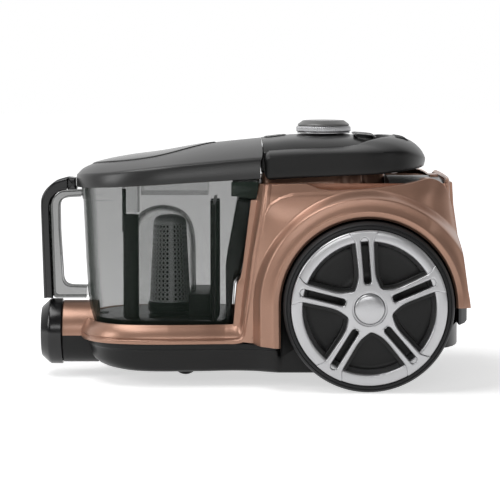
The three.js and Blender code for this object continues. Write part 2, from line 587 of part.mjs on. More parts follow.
const reelAt = [REEL.x, 0, REEL.z];
const reelDrum = () => turned('y', [[8.4, REEL.y0], [REEL.flange, REEL.y0],
  [REEL.flange, REEL.y0 + 3], [REEL.core, REEL.y0 + 3], [REEL.core, REEL.y1 - 6],
  [REEL.flange, REEL.y1 - 6], [REEL.flange, REEL.y1 - 3], [8.4, REEL.y1 - 3]], reelAt);
const reelSpindle = () => join(disc('y', 8, 10, 95.6, reelAt, 16), disc('y', 20, 92, 95.6, reelAt, 16));
const reelSpring = () => ring('y', 8.4, 40, REEL.y1 - 2.5, 91.6, reelAt);

// ---------------------------------------------------------------- rear end
function exhaustDoor() {
  const heights = [DOOR.bottom, 97, 137, 181, DOOR.top];
  const outline = [...heights.map((z) => [rearX(z), z]),
    ...[...heights].reverse().map((z) => [rearX(z) - DOOR.thick, z])];
  const plate = common(prism('y', outline, -DOOR.halfWidth, DOOR.halfWidth),
    prism('z', lowerPlan(), 60, 212));
  const louvres = Array.from({ length: 6 }, (_, i) =>
    box(190, 230, -50, 50, 106 + i * 11, 110.5 + i * 11));
  return cut(plate, ...louvres);
}

const rearBumper = () => common(prism('z', lowerPlan(HALF_LENGTH - 213.6), 61.8, 81.7),
  box(203.5, 230, -150, 150, 50, 90));
const cordOutlet = () => turned('x', [[4.5, 196], [6.7, 196], [6.7, 210.3], [9, 210.3],
  [9, 212.4], [4.5, 212.4]], [0, 40, 46], 16);

// ---------------------------------------------------------------- caster
const casterAt = CASTER.pivot + CASTER.trail;
function casterFork() {
  const cheek = (y0, y1) => box(-85, -64, y0, y1, 9, 29);
  return cut(join(disc('z', 22, 27.6, 34.5, [CASTER.pivot, 0, 0], 28), cheek(7.6, 10.4),
    cheek(-10.4, -7.6)), disc('y', 2.3, -15, 15, [casterAt, 0, CASTER.radius], 12));
}
const casterWheel = () => turned('y', [[2.4, -7], [11, -7], [CASTER.radius, -5], [CASTER.radius, 5],
  [11, 7], [2.4, 7]], [casterAt, 0, CASTER.radius], 28);
const casterAxle = () => disc('y', 2, -10.2, 10.2, [casterAt, 0, CASTER.radius], 12);

// ---------------------------------------------------------------- wheels
// One wheel in its own frame: the axle runs along Y and the outer face looks towards -Y.
const TYRE = { inner: 74 };
const TRIM = { outer: 76.2, inner: 65, hub: 22, cap: 15, slot: [25, 68.5], slotHalf: 3.4 };

const tyre = () => turned('y', [[TYRE.inner, -106], [81, -106], [WHEEL.radius, -110],
  [WHEEL.radius, -131], [82.2, -136], [78.5, -138.6], [TYRE.inner, -137.6]], [0, 0, 0], 36);
const wheelDisc = () => turned('y', [[9.4, -104.3], [20, -104.3], [20, -119], [67, -119],
  [67, -107], [73.7, -107], [73.7, -135], [67, -135], [67, -124], [20, -124], [20, -131],
  [9.4, -131]], [0, 0, 0], 24);

function wheelTrim() {
  const step = (2 * Math.PI) / WHEEL.spokes;
  const start = THREE.MathUtils.degToRad(90 + WHEEL.phase);
  const polar = (r, angle) => [r * Math.cos(angle), r * Math.sin(angle)];
  const rim = Array.from({ length: 36 }, (_, i) => polar(TRIM.outer, (i * Math.PI) / 18));
  const holes = [];
  for (let k = 0; k < WHEEL.spokes; k += 1) {
    const angle = start + k * step;
    const window = [polar(TRIM.hub + 3, angle + step / 2)];
    const [from, to] = [angle + 0.155, angle + step - 0.155];
    for (let i = 0; i <= 6; i += 1) window.push(polar(TRIM.inner, to + ((from - to) * i) / 6));
    const near = 9.6 / (TRIM.hub + 8);
    window.splice(1, 0, polar(TRIM.hub + 8, angle + step - near));
    window.push(polar(TRIM.hub + 8, angle + near));
    holes.push(window);
    const [c, d] = [Math.cos(angle), Math.sin(angle)];
    const at = (along, across) => [along * c - across * d, along * d + across * c];
    const [s0, s1, h] = [...TRIM.slot, TRIM.slotHalf];
    holes.push([at(s0, 0), at(s0 + h, h), at(s1 - h, h), at(s1, 0), at(s1 - h, -h), at(s0 + h, -h)]);
  }
  const capSeat = Array.from({ length: 16 }, (_, i) => polar(TRIM.cap + 0.5, (i * Math.PI) / 8));
  holes.push(capSeat);
  const face = new THREE.ExtrudeGeometry(shapeOf(rim, holes), { depth: 1, bevelEnabled: false });
  const [u, v, w] = BASIS.y;
  face.applyMatrix4(new THREE.Matrix4().makeBasis(u, v, w));
  const position = face.attributes.position;
  for (let i = 0; i < position.count; i += 1) {
    const radius = Math.hypot(position.getX(i), position.getZ(i));
    const dish = -142.6 + (5 * Math.max(0, TRIM.inner - radius)) / TRIM.inner * -1;
    position.setY(i, position.getY(i) < -0.5 ? dish : dish + 3.6 + 0.3);
  }
  return cut(solid(face), ring('y', 73.4, 80, -139, -100, [0, 0, 0], 36));
}
const hubCap = () => turned('y', [[0, -131.6], [TRIM.cap - 2, -131.6], [TRIM.cap, -136],
  [TRIM.cap, -148], [10, -149.6], [0, -HALF_WIDTH]], [0, 0, 0], 16);
const axle = () => join(disc('y', 9, -128, -100.3, [0, 0, 0], 20),
  disc('y', 18, -103.6, -100.3, [0, 0, 0], 20));

function wheel(side) {
  const group = new THREE.Group();
  group.position.set(WHEEL.x, 0, WHEEL.radius);
  if (side === 'right') group.rotation.z = Math.PI;
  place(`wheel_${side}_tyre`, tyre(), rubber(), group);
  place(`wheel_${side}_disc`, wheelDisc(), blackSatin(), group);
  place(`wheel_${side}_trim`, wheelTrim(), silver(), group);
  place(`wheel_${side}_cap`, hubCap(), silver(), group);
  place(`axle_${side}`, axle(), steel(), group);
  vacuum.add(group);
}

// ---------------------------------------------------------------- assembly
place('chassis_pan', chassisPan(), blackSatin());
place('body_shell', bodyShell(), copper());
place('rear_deck', rearDeck(), greySatin());
place('exhaust_latch', exhaustLatch(), copper());
place('control_panel', controlPanel(), blackGloss());
BUTTONS.forEach((button) => place(button.name, buttonBody(button, 0, 236, 0.6), greySatin()));
place('speed_control_board', controlBoard(), board());
place('knob_body', knobBody(), blackSatin());
place('knob_grip_ring', knobRing(), silver());
place('knob_cap', knobCap(), greySatin());
place('carry_handle', carryHandle(), blackSatin());
place('handle_grip', handleGrip(), rubber());
place('handle_pin_left', handlePin(-1), steel());
place('handle_pin_right', handlePin(1), steel());
place('hose_inlet_ring', hoseRing(), blackGloss());
place('inlet_cover', inletCover(), copper());
place('inlet_duct', inletDuct(), blackSatin());
place('inlet_seal', inletSeal(), rubber());
place('bin_shell', binShell(), smoky());
place('bin_handle_frame', binHandleFrame(), smoky());
place('bin_handle_grip', binHandleGrip(), blackGloss());
place('inlet_tube', inletTube(), blackSatin());
place('cyclone_bell', cycloneBell(), smoky());
place('mesh_filter', meshFilter(), greySatin());
place('filter_base', filterBase(), blackSatin());
place('separator_wall', separatorWall(), blackSatin());
place('lid_hinge_block', lidHingeBlock(), blackSatin());
place('lid_latch', lidLatch(), blackGloss());
place('bin_lid', binLid(), blackSatin());
place('lid_inlay', lidInlay(), blackGloss());
place('lid_liner', lidLiner(), blackSatin());
place('lid_seal', lidSeal(), rubber());
place('pre_filter', preFilter(), foam());
place('motor_housing', motorHousing(), greySatin());
place('suction_motor', suctionMotor(), steel());
place('motor_impeller', impeller(), steel());
place('motor_mount_front', frontMount(), rubber());
place('motor_mount_rear', rearMount(), rubber());
place('cord_reel_drum', reelDrum(), greySatin());
place('reel_spindle', reelSpindle(), steel());
place('reel_spring_case', reelSpring(), blackSatin());
place('hepa_filter', hepaFilter(), paper());
place('exhaust_door', exhaustDoor(), copper());
place('rear_bumper', rearBumper(), rubber());
place('cord_outlet', cordOutlet(), rubber());
place('caster_fork', casterFork(), blackSatin());
place('caster_wheel', casterWheel(), rubber());
place('caster_axle', casterAxle(), steel());
wheel('left');
wheel('right');

export default vacuum;
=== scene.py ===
import json
import math
from functools import partial

import bmesh
import bpy
import numpy as np
from bpy.props import FloatProperty, FloatVectorProperty, IntProperty, PointerProperty
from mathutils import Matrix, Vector

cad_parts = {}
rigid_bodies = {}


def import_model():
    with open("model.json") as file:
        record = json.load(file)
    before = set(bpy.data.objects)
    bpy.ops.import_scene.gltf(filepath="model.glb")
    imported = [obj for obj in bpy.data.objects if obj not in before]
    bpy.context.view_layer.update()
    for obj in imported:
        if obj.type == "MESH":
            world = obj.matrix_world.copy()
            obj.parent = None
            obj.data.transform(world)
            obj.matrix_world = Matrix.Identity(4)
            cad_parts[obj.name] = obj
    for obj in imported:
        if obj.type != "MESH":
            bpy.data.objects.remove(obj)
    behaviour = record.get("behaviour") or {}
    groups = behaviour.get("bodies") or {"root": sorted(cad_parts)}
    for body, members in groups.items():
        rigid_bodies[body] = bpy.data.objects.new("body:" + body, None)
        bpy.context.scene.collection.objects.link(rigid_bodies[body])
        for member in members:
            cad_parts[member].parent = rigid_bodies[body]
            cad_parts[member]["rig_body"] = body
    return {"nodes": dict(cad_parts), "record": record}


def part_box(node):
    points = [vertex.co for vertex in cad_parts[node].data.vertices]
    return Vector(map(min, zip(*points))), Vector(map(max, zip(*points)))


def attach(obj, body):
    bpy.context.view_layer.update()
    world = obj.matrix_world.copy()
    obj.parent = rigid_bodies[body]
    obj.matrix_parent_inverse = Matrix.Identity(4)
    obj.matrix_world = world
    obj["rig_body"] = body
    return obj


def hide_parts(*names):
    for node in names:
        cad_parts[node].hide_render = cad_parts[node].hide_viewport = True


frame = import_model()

bl_info = {
    "name": "Canister vacuum cleaner",
    "version": (1, 0, 0),
    "blender": (4, 5, 0),
    "location": "3D View > Sidebar > Vacuum",
    "description": "Builds the mouldings, clear bin and spoked wheels of a canister vacuum cleaner",
    "category": "Object",
}

# Shapes are worked out in millimetres and written to the meshes in metres.
# +X is the rear of the machine, +Z is up and -Y is its left side.
MM = 0.001
SIDES = {"left": -1, "right": 1}
NODE_SLOTS = {part["node"]: part["material_slot"] for part in frame["record"]["subparts"]}


def corners(node):
    """Lowest and highest corner of a CAD node, in millimetres."""
    return [np.array(corner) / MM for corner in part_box(node)]


TYRE_LOW, TYRE_HIGH = corners("wheel_left_tyre")
KNOB_LOW, KNOB_HIGH = corners("knob_grip_ring")
LID_LOW, LID_HIGH = corners("bin_lid")
RING_LOW, RING_HIGH = corners("hose_inlet_ring")
PANEL_LOW, PANEL_HIGH = corners("control_panel")
HANDLE_LOW, HANDLE_HIGH = corners("carry_handle")
WHEEL_X = (TYRE_LOW[0] + TYRE_HIGH[0]) / 2
WHEEL_Z = (TYRE_LOW[2] + TYRE_HIGH[2]) / 2


# ------------------------------------------------------------------ sizes and colours
def length(name, description, millimetres):
    """A length property given in millimetres."""
    return FloatProperty(name=name, description=description, default=millimetres * MM, unit="LENGTH")


def colour(name, description, value):
    """A colour property in linear red, green and blue."""
    return FloatVectorProperty(
        name=name, description=description, default=value, size=3, subtype="COLOR", min=0, max=1
    )


class VacuumSizes(bpy.types.PropertyGroup):
    """Sizes of the mouldings that a user may change."""

    arch_radius: length("Wheel arch", "Radius of the opening round each big wheel", 87.0)
    arch_rise: length("Arch rise", "How far the arch stands out of the side panel", 11.0)
    bin_wall: length("Bin wall", "Thickness of the clear bin", 2.4)
    spoke_slot: length("Spoke slot", "Width of the slot between the two bars of a spoke", 6.8)
    tyre_radius: length("Tyre radius", "Radius of the big wheels", TYRE_HIGH[2] - WHEEL_Z)
    mesh_pitch: length("Hole pitch", "Distance from one filter hole to the next", 4.5)
    mesh_hole: length("Hole size", "Width of one filter hole", 2.9)
    knurl_count: IntProperty(name="Knurls", description="Ridges round the knob", default=84, min=12)


class VacuumColours(bpy.types.PropertyGroup):
    """Colours of the finishes that a user may change."""

    copper: colour("Copper", "Metallic paint of the body", (0.40, 0.225, 0.158))
    black: colour("Black", "Satin black mouldings", (0.013, 0.013, 0.013))
    gloss: colour("Gloss black", "Polished black mouldings", (0.007, 0.007, 0.008))
    grey: colour("Dark grey", "Dark grey mouldings", (0.17, 0.17, 0.167))
    silver: colour("Silver", "Lacquer of the wheel trims", (0.50, 0.50, 0.51))
    rubber: colour("Rubber", "Tyres, seals and bumper", (0.015, 0.015, 0.016))
    smoke: colour("Smoke", "Tint of the clear bin", (0.028, 0.04, 0.032))


def size(name):
    """One of the scene's sizes, in millimetres."""
    return getattr(bpy.context.scene.vacuum_sizes, name) / MM


# ------------------------------------------------------------------ curves
def eased(x, stations):
    """Value at x of a smooth curve through [x, value] stations.

    Each stretch is a cubic whose end slopes are the harmonic mean of the slopes beside it, so
    the curve never overshoots its stations.
    """
    sx, sv = np.array(stations, float).T
    rise = np.diff(sv) / np.diff(sx)
    inner = np.where(rise[:-1] * rise[1:] > 0, rise[:-1] * rise[1:], 0)
    slope = np.concatenate([rise[:1], 2 * inner / (rise[:-1] + rise[1:] + 1e-12), rise[-1:]])
    x = np.clip(np.asarray(x, float), sx[0], sx[-1])
    i = np.clip(np.searchsorted(sx, x, side="right") - 1, 0, len(sx) - 2)
    step = sx[i + 1] - sx[i]
    t = (x - sx[i]) / step
    return (
        (1 + 2 * t) * (1 - t) ** 2 * sv[i]
        + t * (1 - t) ** 2 * step * slope[i]
        + t * t * (3 - 2 * t) * sv[i + 1]
        + t * t * (t - 1) * step * slope[i + 1]
    )


def smooth_step(x, low, high):
    """0 below low, 1 above high and an S-shaped cubic between them."""
    t = np.clip((np.asarray(x, float) - low) / (high - low), 0, 1)
    return t * t * (3 - 2 * t)


def filleted(points, radius, steps=5, closed=False):
    """A polyline with each corner replaced by a parabola that leaves it a radius away.

    The parabola is cut short where a neighbouring stretch is shorter than two radii.
    """
    points = np.array(points, float)
    radii = np.broadcast_to(np.asarray(radius, float), len(points))
    rounded = []
    for i, corner in enumerate(points):
        if not closed and i in (0, len(points) - 1):
            rounded.append(corner[None])
            continue
        before, after = points[i - 1] - corner, points[(i + 1) % len(points)] - corner
        reach = [min(radii[i], 0.49 * np.linalg.norm(v)) / np.linalg.norm(v) for v in (before, after)]
        t = np.linspace(0, 1, steps)[:, None]
        start, end = corner + before * reach[0], corner + after * reach[1]
        rounded.append((1 - t) ** 2 * start + 2 * t * (1 - t) * corner + t * t * end)
    return np.concatenate(rounded)


def resampled(points, count, closed=False):
    """Points spaced evenly along a polyline, by length."""
    points = np.array(points, float)
    if closed:
        points = np.concatenate([points, points[:1]])
    run = np.concatenate([[0], np.cumsum(np.linalg.norm(np.diff(points, axis=0), axis=1))])
    at = np.linspace(0, run[-1], count + closed)[: count if closed else None]
    return np.stack([np.interp(at, run, points[:, k]) for k in range(points.shape[1])], -1)


def oval_nose(tip, shoulder, half_width, power, count):
    """Quarter of a superellipse from the tip on the centre line to the full half width.

    x - shoulder goes with the cosine and y with the sine of an angle, each raised to 2 / power,
    so a larger power makes a blunter nose.
    """
    angle = np.linspace(0, math.pi / 2, count)
    x = shoulder + (tip - shoulder) * np.cos(angle).clip(0) ** (2 / power)
    return np.stack([x, half_width * np.sin(angle) ** (2 / power)], -1)


def inward_normals(points, closed=False):
    """Unit vectors square to a plan curve, to the left of the way it runs."""
    if closed:
        tangent = np.roll(points, -1, 0) - np.roll(points, 1, 0)
    else:
        tangent = np.gradient(points, axis=0)
    tangent /= np.linalg.norm(tangent, axis=1, keepdims=True) + 1e-12
    return np.stack([-tangent[:, 1], tangent[:, 0]], -1)


def level(line, z):
    """A plan curve set at one height, or at a height for each of its points."""
    return np.column_stack([line, np.broadcast_to(z, len(line))])


def both_halves(half):
    """Half of a plan, from its front to its rear end, closed by its mirror image."""
    return np.concatenate([half, half[-2:0:-1] * [1, -1]])


# ------------------------------------------------------------------ meshes
class Moulding:
    """Grids of points gathered into one mesh."""

    def __init__(self):
        self.points = []
        self.faces = []
        self.count = 0

    def grid(self, points, columns_meet=False):
        """Adds a surface given as rows and columns of points, in millimetres."""
        points = np.asarray(points, float)
        rows, columns = points.shape[:2]
        index = np.arange(rows * columns).reshape(rows, columns) + self.count
        if columns_meet:
            index = np.concatenate([index, index[:, :1]], 1)
        quads = np.stack([index[:-1, :-1], index[:-1, 1:], index[1:, 1:], index[1:, :-1]], -1)
        self.points.append(points.reshape(-1, 3))
        self.faces.append(quads.reshape(-1, 4))
        self.count += rows * columns
        return self

    def round(self, rings):
        """Adds rings that close on themselves, such as those of a turned piece."""
        return self.grid(rings, columns_meet=True)

    def tube(self, rings):
        """Adds closed rings joined into a tube, with both ends closed onto their middles."""
        rings = np.asarray(rings, float)
        ends = [np.broadcast_to(ring.mean(0), ring.shape)[None] for ring in (rings[0], rings[-1])]
        return self.grid(np.concatenate([ends[0], rings, ends[1]]), columns_meet=True)

    def mirrored(self):
        """Adds the mirror image across the middle plane of all that is there."""
        self.points = [np.concatenate(self.points)]
        faces = np.concatenate(self.faces)
        self.faces = [faces, faces[:, ::-1] + self.count]
        self.points.append(self.points[0] * [1, -1, 1])
        self.count *= 2
        return self

    def finish(self, name, look, node=None, body=None, slot=None, crease=38):
        """Writes the mesh, welds it, turns its faces outwards and gives it a finish. It stands for a CAD node
        and takes its body, or else rides on the body it is given. The slot is not used."""
        mesh = bpy.data.meshes.new(name)
        points = np.concatenate(self.points) * MM
        mesh.from_pydata(points.tolist(), [], np.concatenate(self.faces).tolist())
        piece = bpy.data.objects.new(name, mesh)
        bpy.context.scene.collection.objects.link(piece)
        tidy = bmesh.new()
        tidy.from_mesh(mesh)
        bmesh.ops.remove_doubles(tidy, verts=tidy.verts, dist=2e-6)
        bmesh.ops.dissolve_degenerate(tidy, edges=tidy.edges, dist=1e-6)
        bmesh.ops.recalc_face_normals(tidy, faces=tidy.faces)
        tidy.to_mesh(mesh)
        tidy.free()
        mesh.polygons.foreach_set("use_smooth", np.ones(len(mesh.polygons), bool))
        mesh.set_sharp_from_angle(angle=math.radians(crease))
        mesh.materials.append(look())
        if node:
            body, slot = frame["nodes"][node]["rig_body"], NODE_SLOTS[node]
            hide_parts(node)
        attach(piece, body)


def turned(axis, profile, centre, steps=96, scallop=None):
    """A [radius, height] profile carried round an axis: rows along the profile, columns round.

    A scallop is a function of the angle that scales the radius.
    """
    profile = np.asarray(profile, float)
    angle = np.linspace(0, 2 * math.pi, steps, endpoint=False)
    scale = 1 if scallop is None else scallop(angle)
    across = profile[:, :1] * np.cos(angle) * scale
    along = profile[:, :1] * np.sin(angle) * scale
    height = np.broadcast_to(profile[:, 1:], across.shape)
    order = {"x": (height, across, along), "y": (along, height, across), "z": (across, along, height)}
    return np.stack(order[axis], -1) + np.asarray(centre, float)


def slab(outline, low, high, edge=0.6, radius=1.0):
    """Rings of a plate: a side-view outline carried across from low to high, with its long
    edges rounded."""
    line = filleted(outline, radius, steps=4, closed=True)
    inward = inward_normals(line, closed=True)
    area = (line[:, 0] * np.roll(line[:, 1], -1) - line[:, 1] * np.roll(line[:, 0], -1)).sum()
    inward *= np.sign(area)
    turn = np.radians([0, 30, 60, 90])
    steps = [(edge * (1 - math.sin(t)), low + edge * (1 - math.cos(t))) for t in turn]
    steps += [(inset, low + high - y) for inset, y in steps[::-1]]
    points = [line + inward * inset for inset, _ in steps]
    return np.stack([np.column_stack([p[:, 0], np.full(len(p), y), p[:, 1]])
                     for p, (_, y) in zip(points, steps)])


def copied(node, name, look, edge=0.6, crease=30):
    """A copy of a CAD node with its edges rounded, standing for it."""
    piece = bpy.data.objects.new(name, frame["nodes"][node].data.copy())
    bpy.context.scene.collection.objects.link(piece)
    tidy = bmesh.new()
    tidy.from_mesh(piece.data)
    bmesh.ops.remove_doubles(tidy, verts=tidy.verts, dist=1e-5)
    bmesh.ops.dissolve_limit(tidy, angle_limit=math.radians(1), verts=tidy.verts, edges=tidy.edges)
    tidy.to_mesh(piece.data)
    tidy.free()
    piece.data.polygons.foreach_set("use_smooth", np.ones(len(piece.data.polygons), bool))
    piece.data.set_sharp_from_angle(angle=math.radians(crease))
    if edge:
        bevel = piece.modifiers.new("edge", "BEVEL")
        bevel.width = edge * MM
        bevel.segments = 2
        bevel.limit_method = "ANGLE"
        bevel.angle_limit = math.radians(crease)
        bevel.harden_normals = True
    piece.data.materials.clear()
    piece.data.materials.append(look())
    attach(piece, frame["nodes"][node]["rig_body"])
    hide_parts(node)


# ------------------------------------------------------------------ finishes
def add(tree, kind, operation=None, **values):
    """Adds a shader node with its operation and the values of its named inputs."""
    node = tree.nodes.new("ShaderNode" + kind)
    if operation:
        node.operation = operation
    for name, value in values.items():
        node.inputs[name.replace("_", " ")].default_value = value
    return node


def node_group(name, inputs, outputs, fill):
    """A named node group: made once, given its sockets and filled in."""
    if name in bpy.data.node_groups:
        return bpy.data.node_groups[name]
    group = bpy.data.node_groups.new(name, "ShaderNodeTree")
    for socket, default in inputs.items():
        kind = "NodeSocketFloat" if isinstance(default, float) else "NodeSocketColor"
        made = group.interface.new_socket(name=socket, in_out="INPUT", socket_type=kind)
        made.default_value = default
    for socket, kind in outputs.items():
        group.interface.new_socket(name=socket, in_out="OUTPUT", socket_type=kind)
    fill(group, group.links.new, group.nodes.new("NodeGroupInput").outputs,
         group.nodes.new("NodeGroupOutput").inputs, add(group, "TexCoord").outputs["Object"])
    return group


def grain_group():
    """Moulded grain: fine noise as a height, and slow noise as a roughness that varies."""
    def fill(group, link, given, result, place):
        fine, slow = add(group, "TexNoise"), add(group, "TexNoise", Scale=14)
        spread, centred = add(group, "Math", "MULTIPLY_ADD"), add(group, "Math", "SUBTRACT")
        centred.inputs[1].default_value = 0.5
        link(place, fine.inputs["Vector"])
        link(place, slow.inputs["Vector"])
        link(given["Grains per metre"], fine.inputs["Scale"])
        link(slow.outputs["Fac"], centred.inputs[0])
        link(centred.outputs[0], spread.inputs[0])
        link(given["Spread"], spread.inputs[1])
        link(given["Roughness"], spread.inputs[2])
        link(fine.outputs["Fac"], result["Height"])
        link(spread.outputs[0], result["Roughness"])
    return node_group("Moulded grain", {"Grains per metre": 900.0, "Roughness": 0.4, "Spread": 0.08},
                      {"Height": "NodeSocketFloat", "Roughness": "NodeSocketFloat"}, fill)


def flake_group():
    """Metallic paint: tiny cells of lighter and darker colour over a slow drift of tone."""
    def fill(group, link, given, result, place):
        cells, drift = add(group, "TexVoronoi"), add(group, "TexNoise", Scale=9)
        both, tone = add(group, "Math", "ADD"), add(group, "MapRange", From_Min=0.2, From_Max=1.6)
        scale = add(group, "VectorMath", "SCALE")
        link(place, cells.inputs["Vector"])
        link(place, drift.inputs["Vector"])
        link(given["Flakes per metre"], cells.inputs["Scale"])
        link(cells.outputs["Distance"], both.inputs[0])
        link(drift.outputs["Fac"], both.inputs[1])
        link(both.outputs[0], tone.inputs["Value"])
        for operation, end in (("SUBTRACT", "To Min"), ("ADD", "To Max")):
            limit = add(group, "Math", operation)
            limit.inputs[0].default_value = 1
            link(given["Depth"], limit.inputs[1])
            link(limit.outputs[0], tone.inputs[end])
        link(given["Colour"], scale.inputs[0])
        link(tone.outputs["Result"], scale.inputs["Scale"])
        link(scale.outputs["Vector"], result["Colour"])
    return node_group("Paint flake", {"Colour": (0.5, 0.5, 0.5, 1), "Flakes per metre": 1600.0, "Depth": 0.1},
                      {"Colour": "NodeSocketColor"}, fill)


def new_material(name):
    """A new material with its node tree and its surface shader's inputs."""
    material = bpy.data.materials.new(name)
    material.use_nodes = True
    return material, material.node_tree, material.node_tree.nodes["Principled BSDF"].inputs


def moulded(name, tint, roughness, grain=0.15, grains=900, spread=0.08, flake=0.06, **shader):
    """A moulded or painted finish: grain in the surface, uneven gloss and a little tone. The
    tint is a colour or the name of one of the scene's."""
    if name in bpy.data.materials:
        return bpy.data.materials[name]
    material, tree, surface = new_material(name)
    if isinstance(tint, str):
        tint = getattr(bpy.context.scene.vacuum_colours, tint)
    texture, tone = add(tree, "Group"), add(tree, "Group")
    texture.node_tree, tone.node_tree = grain_group(), flake_group()
    for node, socket, value in (
            (texture, "Grains per metre", grains), (texture, "Roughness", roughness),
            (texture, "Spread", spread), (tone, "Colour", (*tint, 1)), (tone, "Depth", flake)):
        node.inputs[socket].default_value = value
    bump = add(tree, "Bump", Strength=grain, Distance=0.0002)
    link = tree.links.new
    link(texture.outputs["Height"], bump.inputs["Height"])
    link(texture.outputs["Roughness"], surface["Roughness"])
    link(tone.outputs["Colour"], surface["Base Color"])
    link(bump.outputs["Normal"], surface["Normal"])
    for key, value in shader.items():
        surface[key.replace("_", " ")].default_value = value
    return material


# Satin metallic paint under a thin clear coat.
copper = partial(moulded, "copper_paint", "copper", 0.36, grain=0.05, grains=1500, Metallic=0.62,
                 flake=0.10, Coat_Weight=0.25, Coat_Roughness=0.18)
# Fine-grained black, the slightly lighter lid and panel, and polished black.
black_satin = partial(moulded, "satin_black", "black", 0.34, grain=0.12, Specular_IOR_Level=0.25)
charcoal = partial(moulded, "satin_charcoal", (0.024, 0.024, 0.024), 0.32, grain=0.08, Specular_IOR_Level=0.5)
black_gloss = partial(moulded, "gloss_black", "gloss", 0.2, grain=0.02, Specular_IOR_Level=0.5)
# Dark grey with a faint metallic look, and the perforated filter's light grey, which is lighter than the
# mesh's own grey: painted light making up for the light the smoky bin holds back.
grey_satin = partial(moulded, "satin_grey", "grey", 0.34, grain=0.08, Metallic=0.3)
light_grey = partial(moulded, "light_grey", (0.85, 0.86, 0.86), 0.32, grain=0.05, Metallic=0.2)
# Silver lacquer of the wheel trims, matt rubber and turned steel.
silver = partial(moulded, "silver_lacquer", "silver", 0.3, grain=0.03, grains=1500, Metallic=0.85, flake=0.05)
rubber = partial(moulded, "matt_rubber", "rubber", 0.55, grain=0.3, grains=700, Specular_IOR_Level=0.3)
steel = partial(moulded, "turned_steel", (0.5, 0.5, 0.51), 0.3, grain=0.05, Metallic=1.0)


def smoky(name="smoky_plastic", veil=0.28, edge=0.95):
    """Smoky clear plastic: it lets most light through where it is seen square on and turns
    denser towards its edges, with a polished surface."""
    if name in bpy.data.materials:
        return bpy.data.materials[name]
    material, tree, surface = new_material(name)
    facing = add(tree, "LayerWeight", Blend=0.5)
    density = add(tree, "MapRange", From_Min=0.45, To_Min=veil, To_Max=edge)
    texture = add(tree, "Group")
    texture.node_tree = grain_group()
    texture.inputs["Roughness"].default_value = 0.08
    texture.inputs["Spread"].default_value = 0.05
    tree.links.new(facing.outputs["Facing"], density.inputs["Value"])
    tree.links.new(density.outputs["Result"], surface["Alpha"])
    tree.links.new(texture.outputs["Roughness"], surface["Roughness"])
    surface["Base Color"].default_value = (*bpy.context.scene.vacuum_colours.smoke, 1)
    surface["Specular IOR Level"].default_value = 0.04
    return material


# Clear pieces inside and round the bin: the handle's frame, bell, liner and dense corner block.
clear_frame = partial(smoky, "smoky_frame", 0.5, 0.97)
clear_bell = partial(smoky, "smoky_bell", 0.06, 0.95)
clear_liner = partial(smoky, "smoky_liner", 0.1, 0.8)
clear_block = partial(smoky, "smoky_dense", 0.8, 0.97)
# Foam and pleated paper: coarse grain and a matt surface.
paper_like = partial(moulded, grain=0.8, flake=0.15)
FINISHES = {
    "copper": copper,
    "black_satin": black_satin,
    "black_gloss": black_gloss,
    "grey_satin": grey_satin,
    "silver_trim": silver,
    "tyre_rubber": rubber,
    "soft_rubber": rubber,
    "motor_alloy": steel,
    "steel": steel,
    "smoky_clear": smoky,
    "filter_foam": partial(paper_like, "open_foam", (0.06, 0.075, 0.09), 0.95, grains=500),
    "filter_paper": partial(paper_like, "pleated_paper", (0.72, 0.70, 0.64), 0.9, grains=250),
    "circuit_board": partial(moulded, "green_board", (0.03, 0.12, 0.05), 0.45, grain=0.1),
}


# ------------------------------------------------------------------ body
# The tray's nose: x of its tip and of its shoulder, its half width and the power of its plan.
TRAY_TIP, TRAY_SHOULDER, TRAY_HALF, TRAY_POWER = -177, -85, 105, 2.9
# Heights of the tray's floor, the sunken deck round the turret and the rear frame's top.
TRAY_FLOOR, DECK, FRAME_TOP = 53.2, 193, 207.6
# Where the front moulding's rails start on the side panel and where the tray takes over.
RAIL_TOP, RAIL_END = 202.3, -28


def rear_line(z):
    """x of the rear of the body at a height: it leans forward as it rises."""
    return eased(z, [[40, 209], [63, 211], [82, 213.4], [97, 211], [137, 205.4], [166, 199.6],
                     [181, 197.4], [208, 196]])


def arch_reach(x, z):
    """Distance of a side-panel point from the axle of the opening.

    It is the true distance above the axle and only the distance along X below it, because
    the opening's front edge runs straight down there.
    """
    across, up = x - WHEEL_X, z - WHEEL_Z
    return np.where(up > 0, np.hypot(across, up), np.abs(across))


def panel_width(x, z):
    """Half width of the side panel at a point of its side view.

    It is a full width less the root of the squares of three drops: towards the top, the
    front edge and the rear. Round the wheel opening the flare stands out of it: a bead, a
    nearly flat face, and a smooth step back, given by the distance from the axle.
    """
    high = eased(z, [[110, 0], [165, 4], [190, 9.5], [204, 16], [216, 22]])
    behind = rear_line(z) - x
    ahead = eased(x, [[-16, 19], [-8, 15], [0, 11], [14, 5], [34, 1], [60, 0]])
    aft = eased(behind, [[0, 34], [4, 27], [14, 17], [28, 8], [44, 2], [64, 0]])
    base = 119 - np.sqrt(high ** 2 + ahead ** 2 + aft ** 2)
    opening = size("arch_radius")
    lift = size("arch_rise") - 11
    reach = arch_reach(x, z) - opening
    flare = eased(reach, [[0, 128.4], [1.2, 130], [4, 130.9], [6.2, 131.4], [8.4, 130.4], [13, 128.8],
                          [20, 127.4], [30, 126], [40, 125]])
    flare = flare + lift - 0.03 * (z - WHEEL_Z) - 9 * (1 - smooth_step(behind, -2, 30))
    share = smooth_step(reach, 18, 27)
    return flare + (np.minimum(base, flare) - flare) * share


# Line of the step in the side panel: up beside its front edge, round, and back along its top.
FRONT_STEP = [[-8.8, 50], [-5.1, 72.9], [-0.8, 99.9], [3.5, 132.1], [9.3, 164.3], [10.6, 174],
              [16.1, 183.1], [26.1, 189.5], [38.8, 193.1], [58.9, 194.2], [86, 194.2], [110, 194.4]]


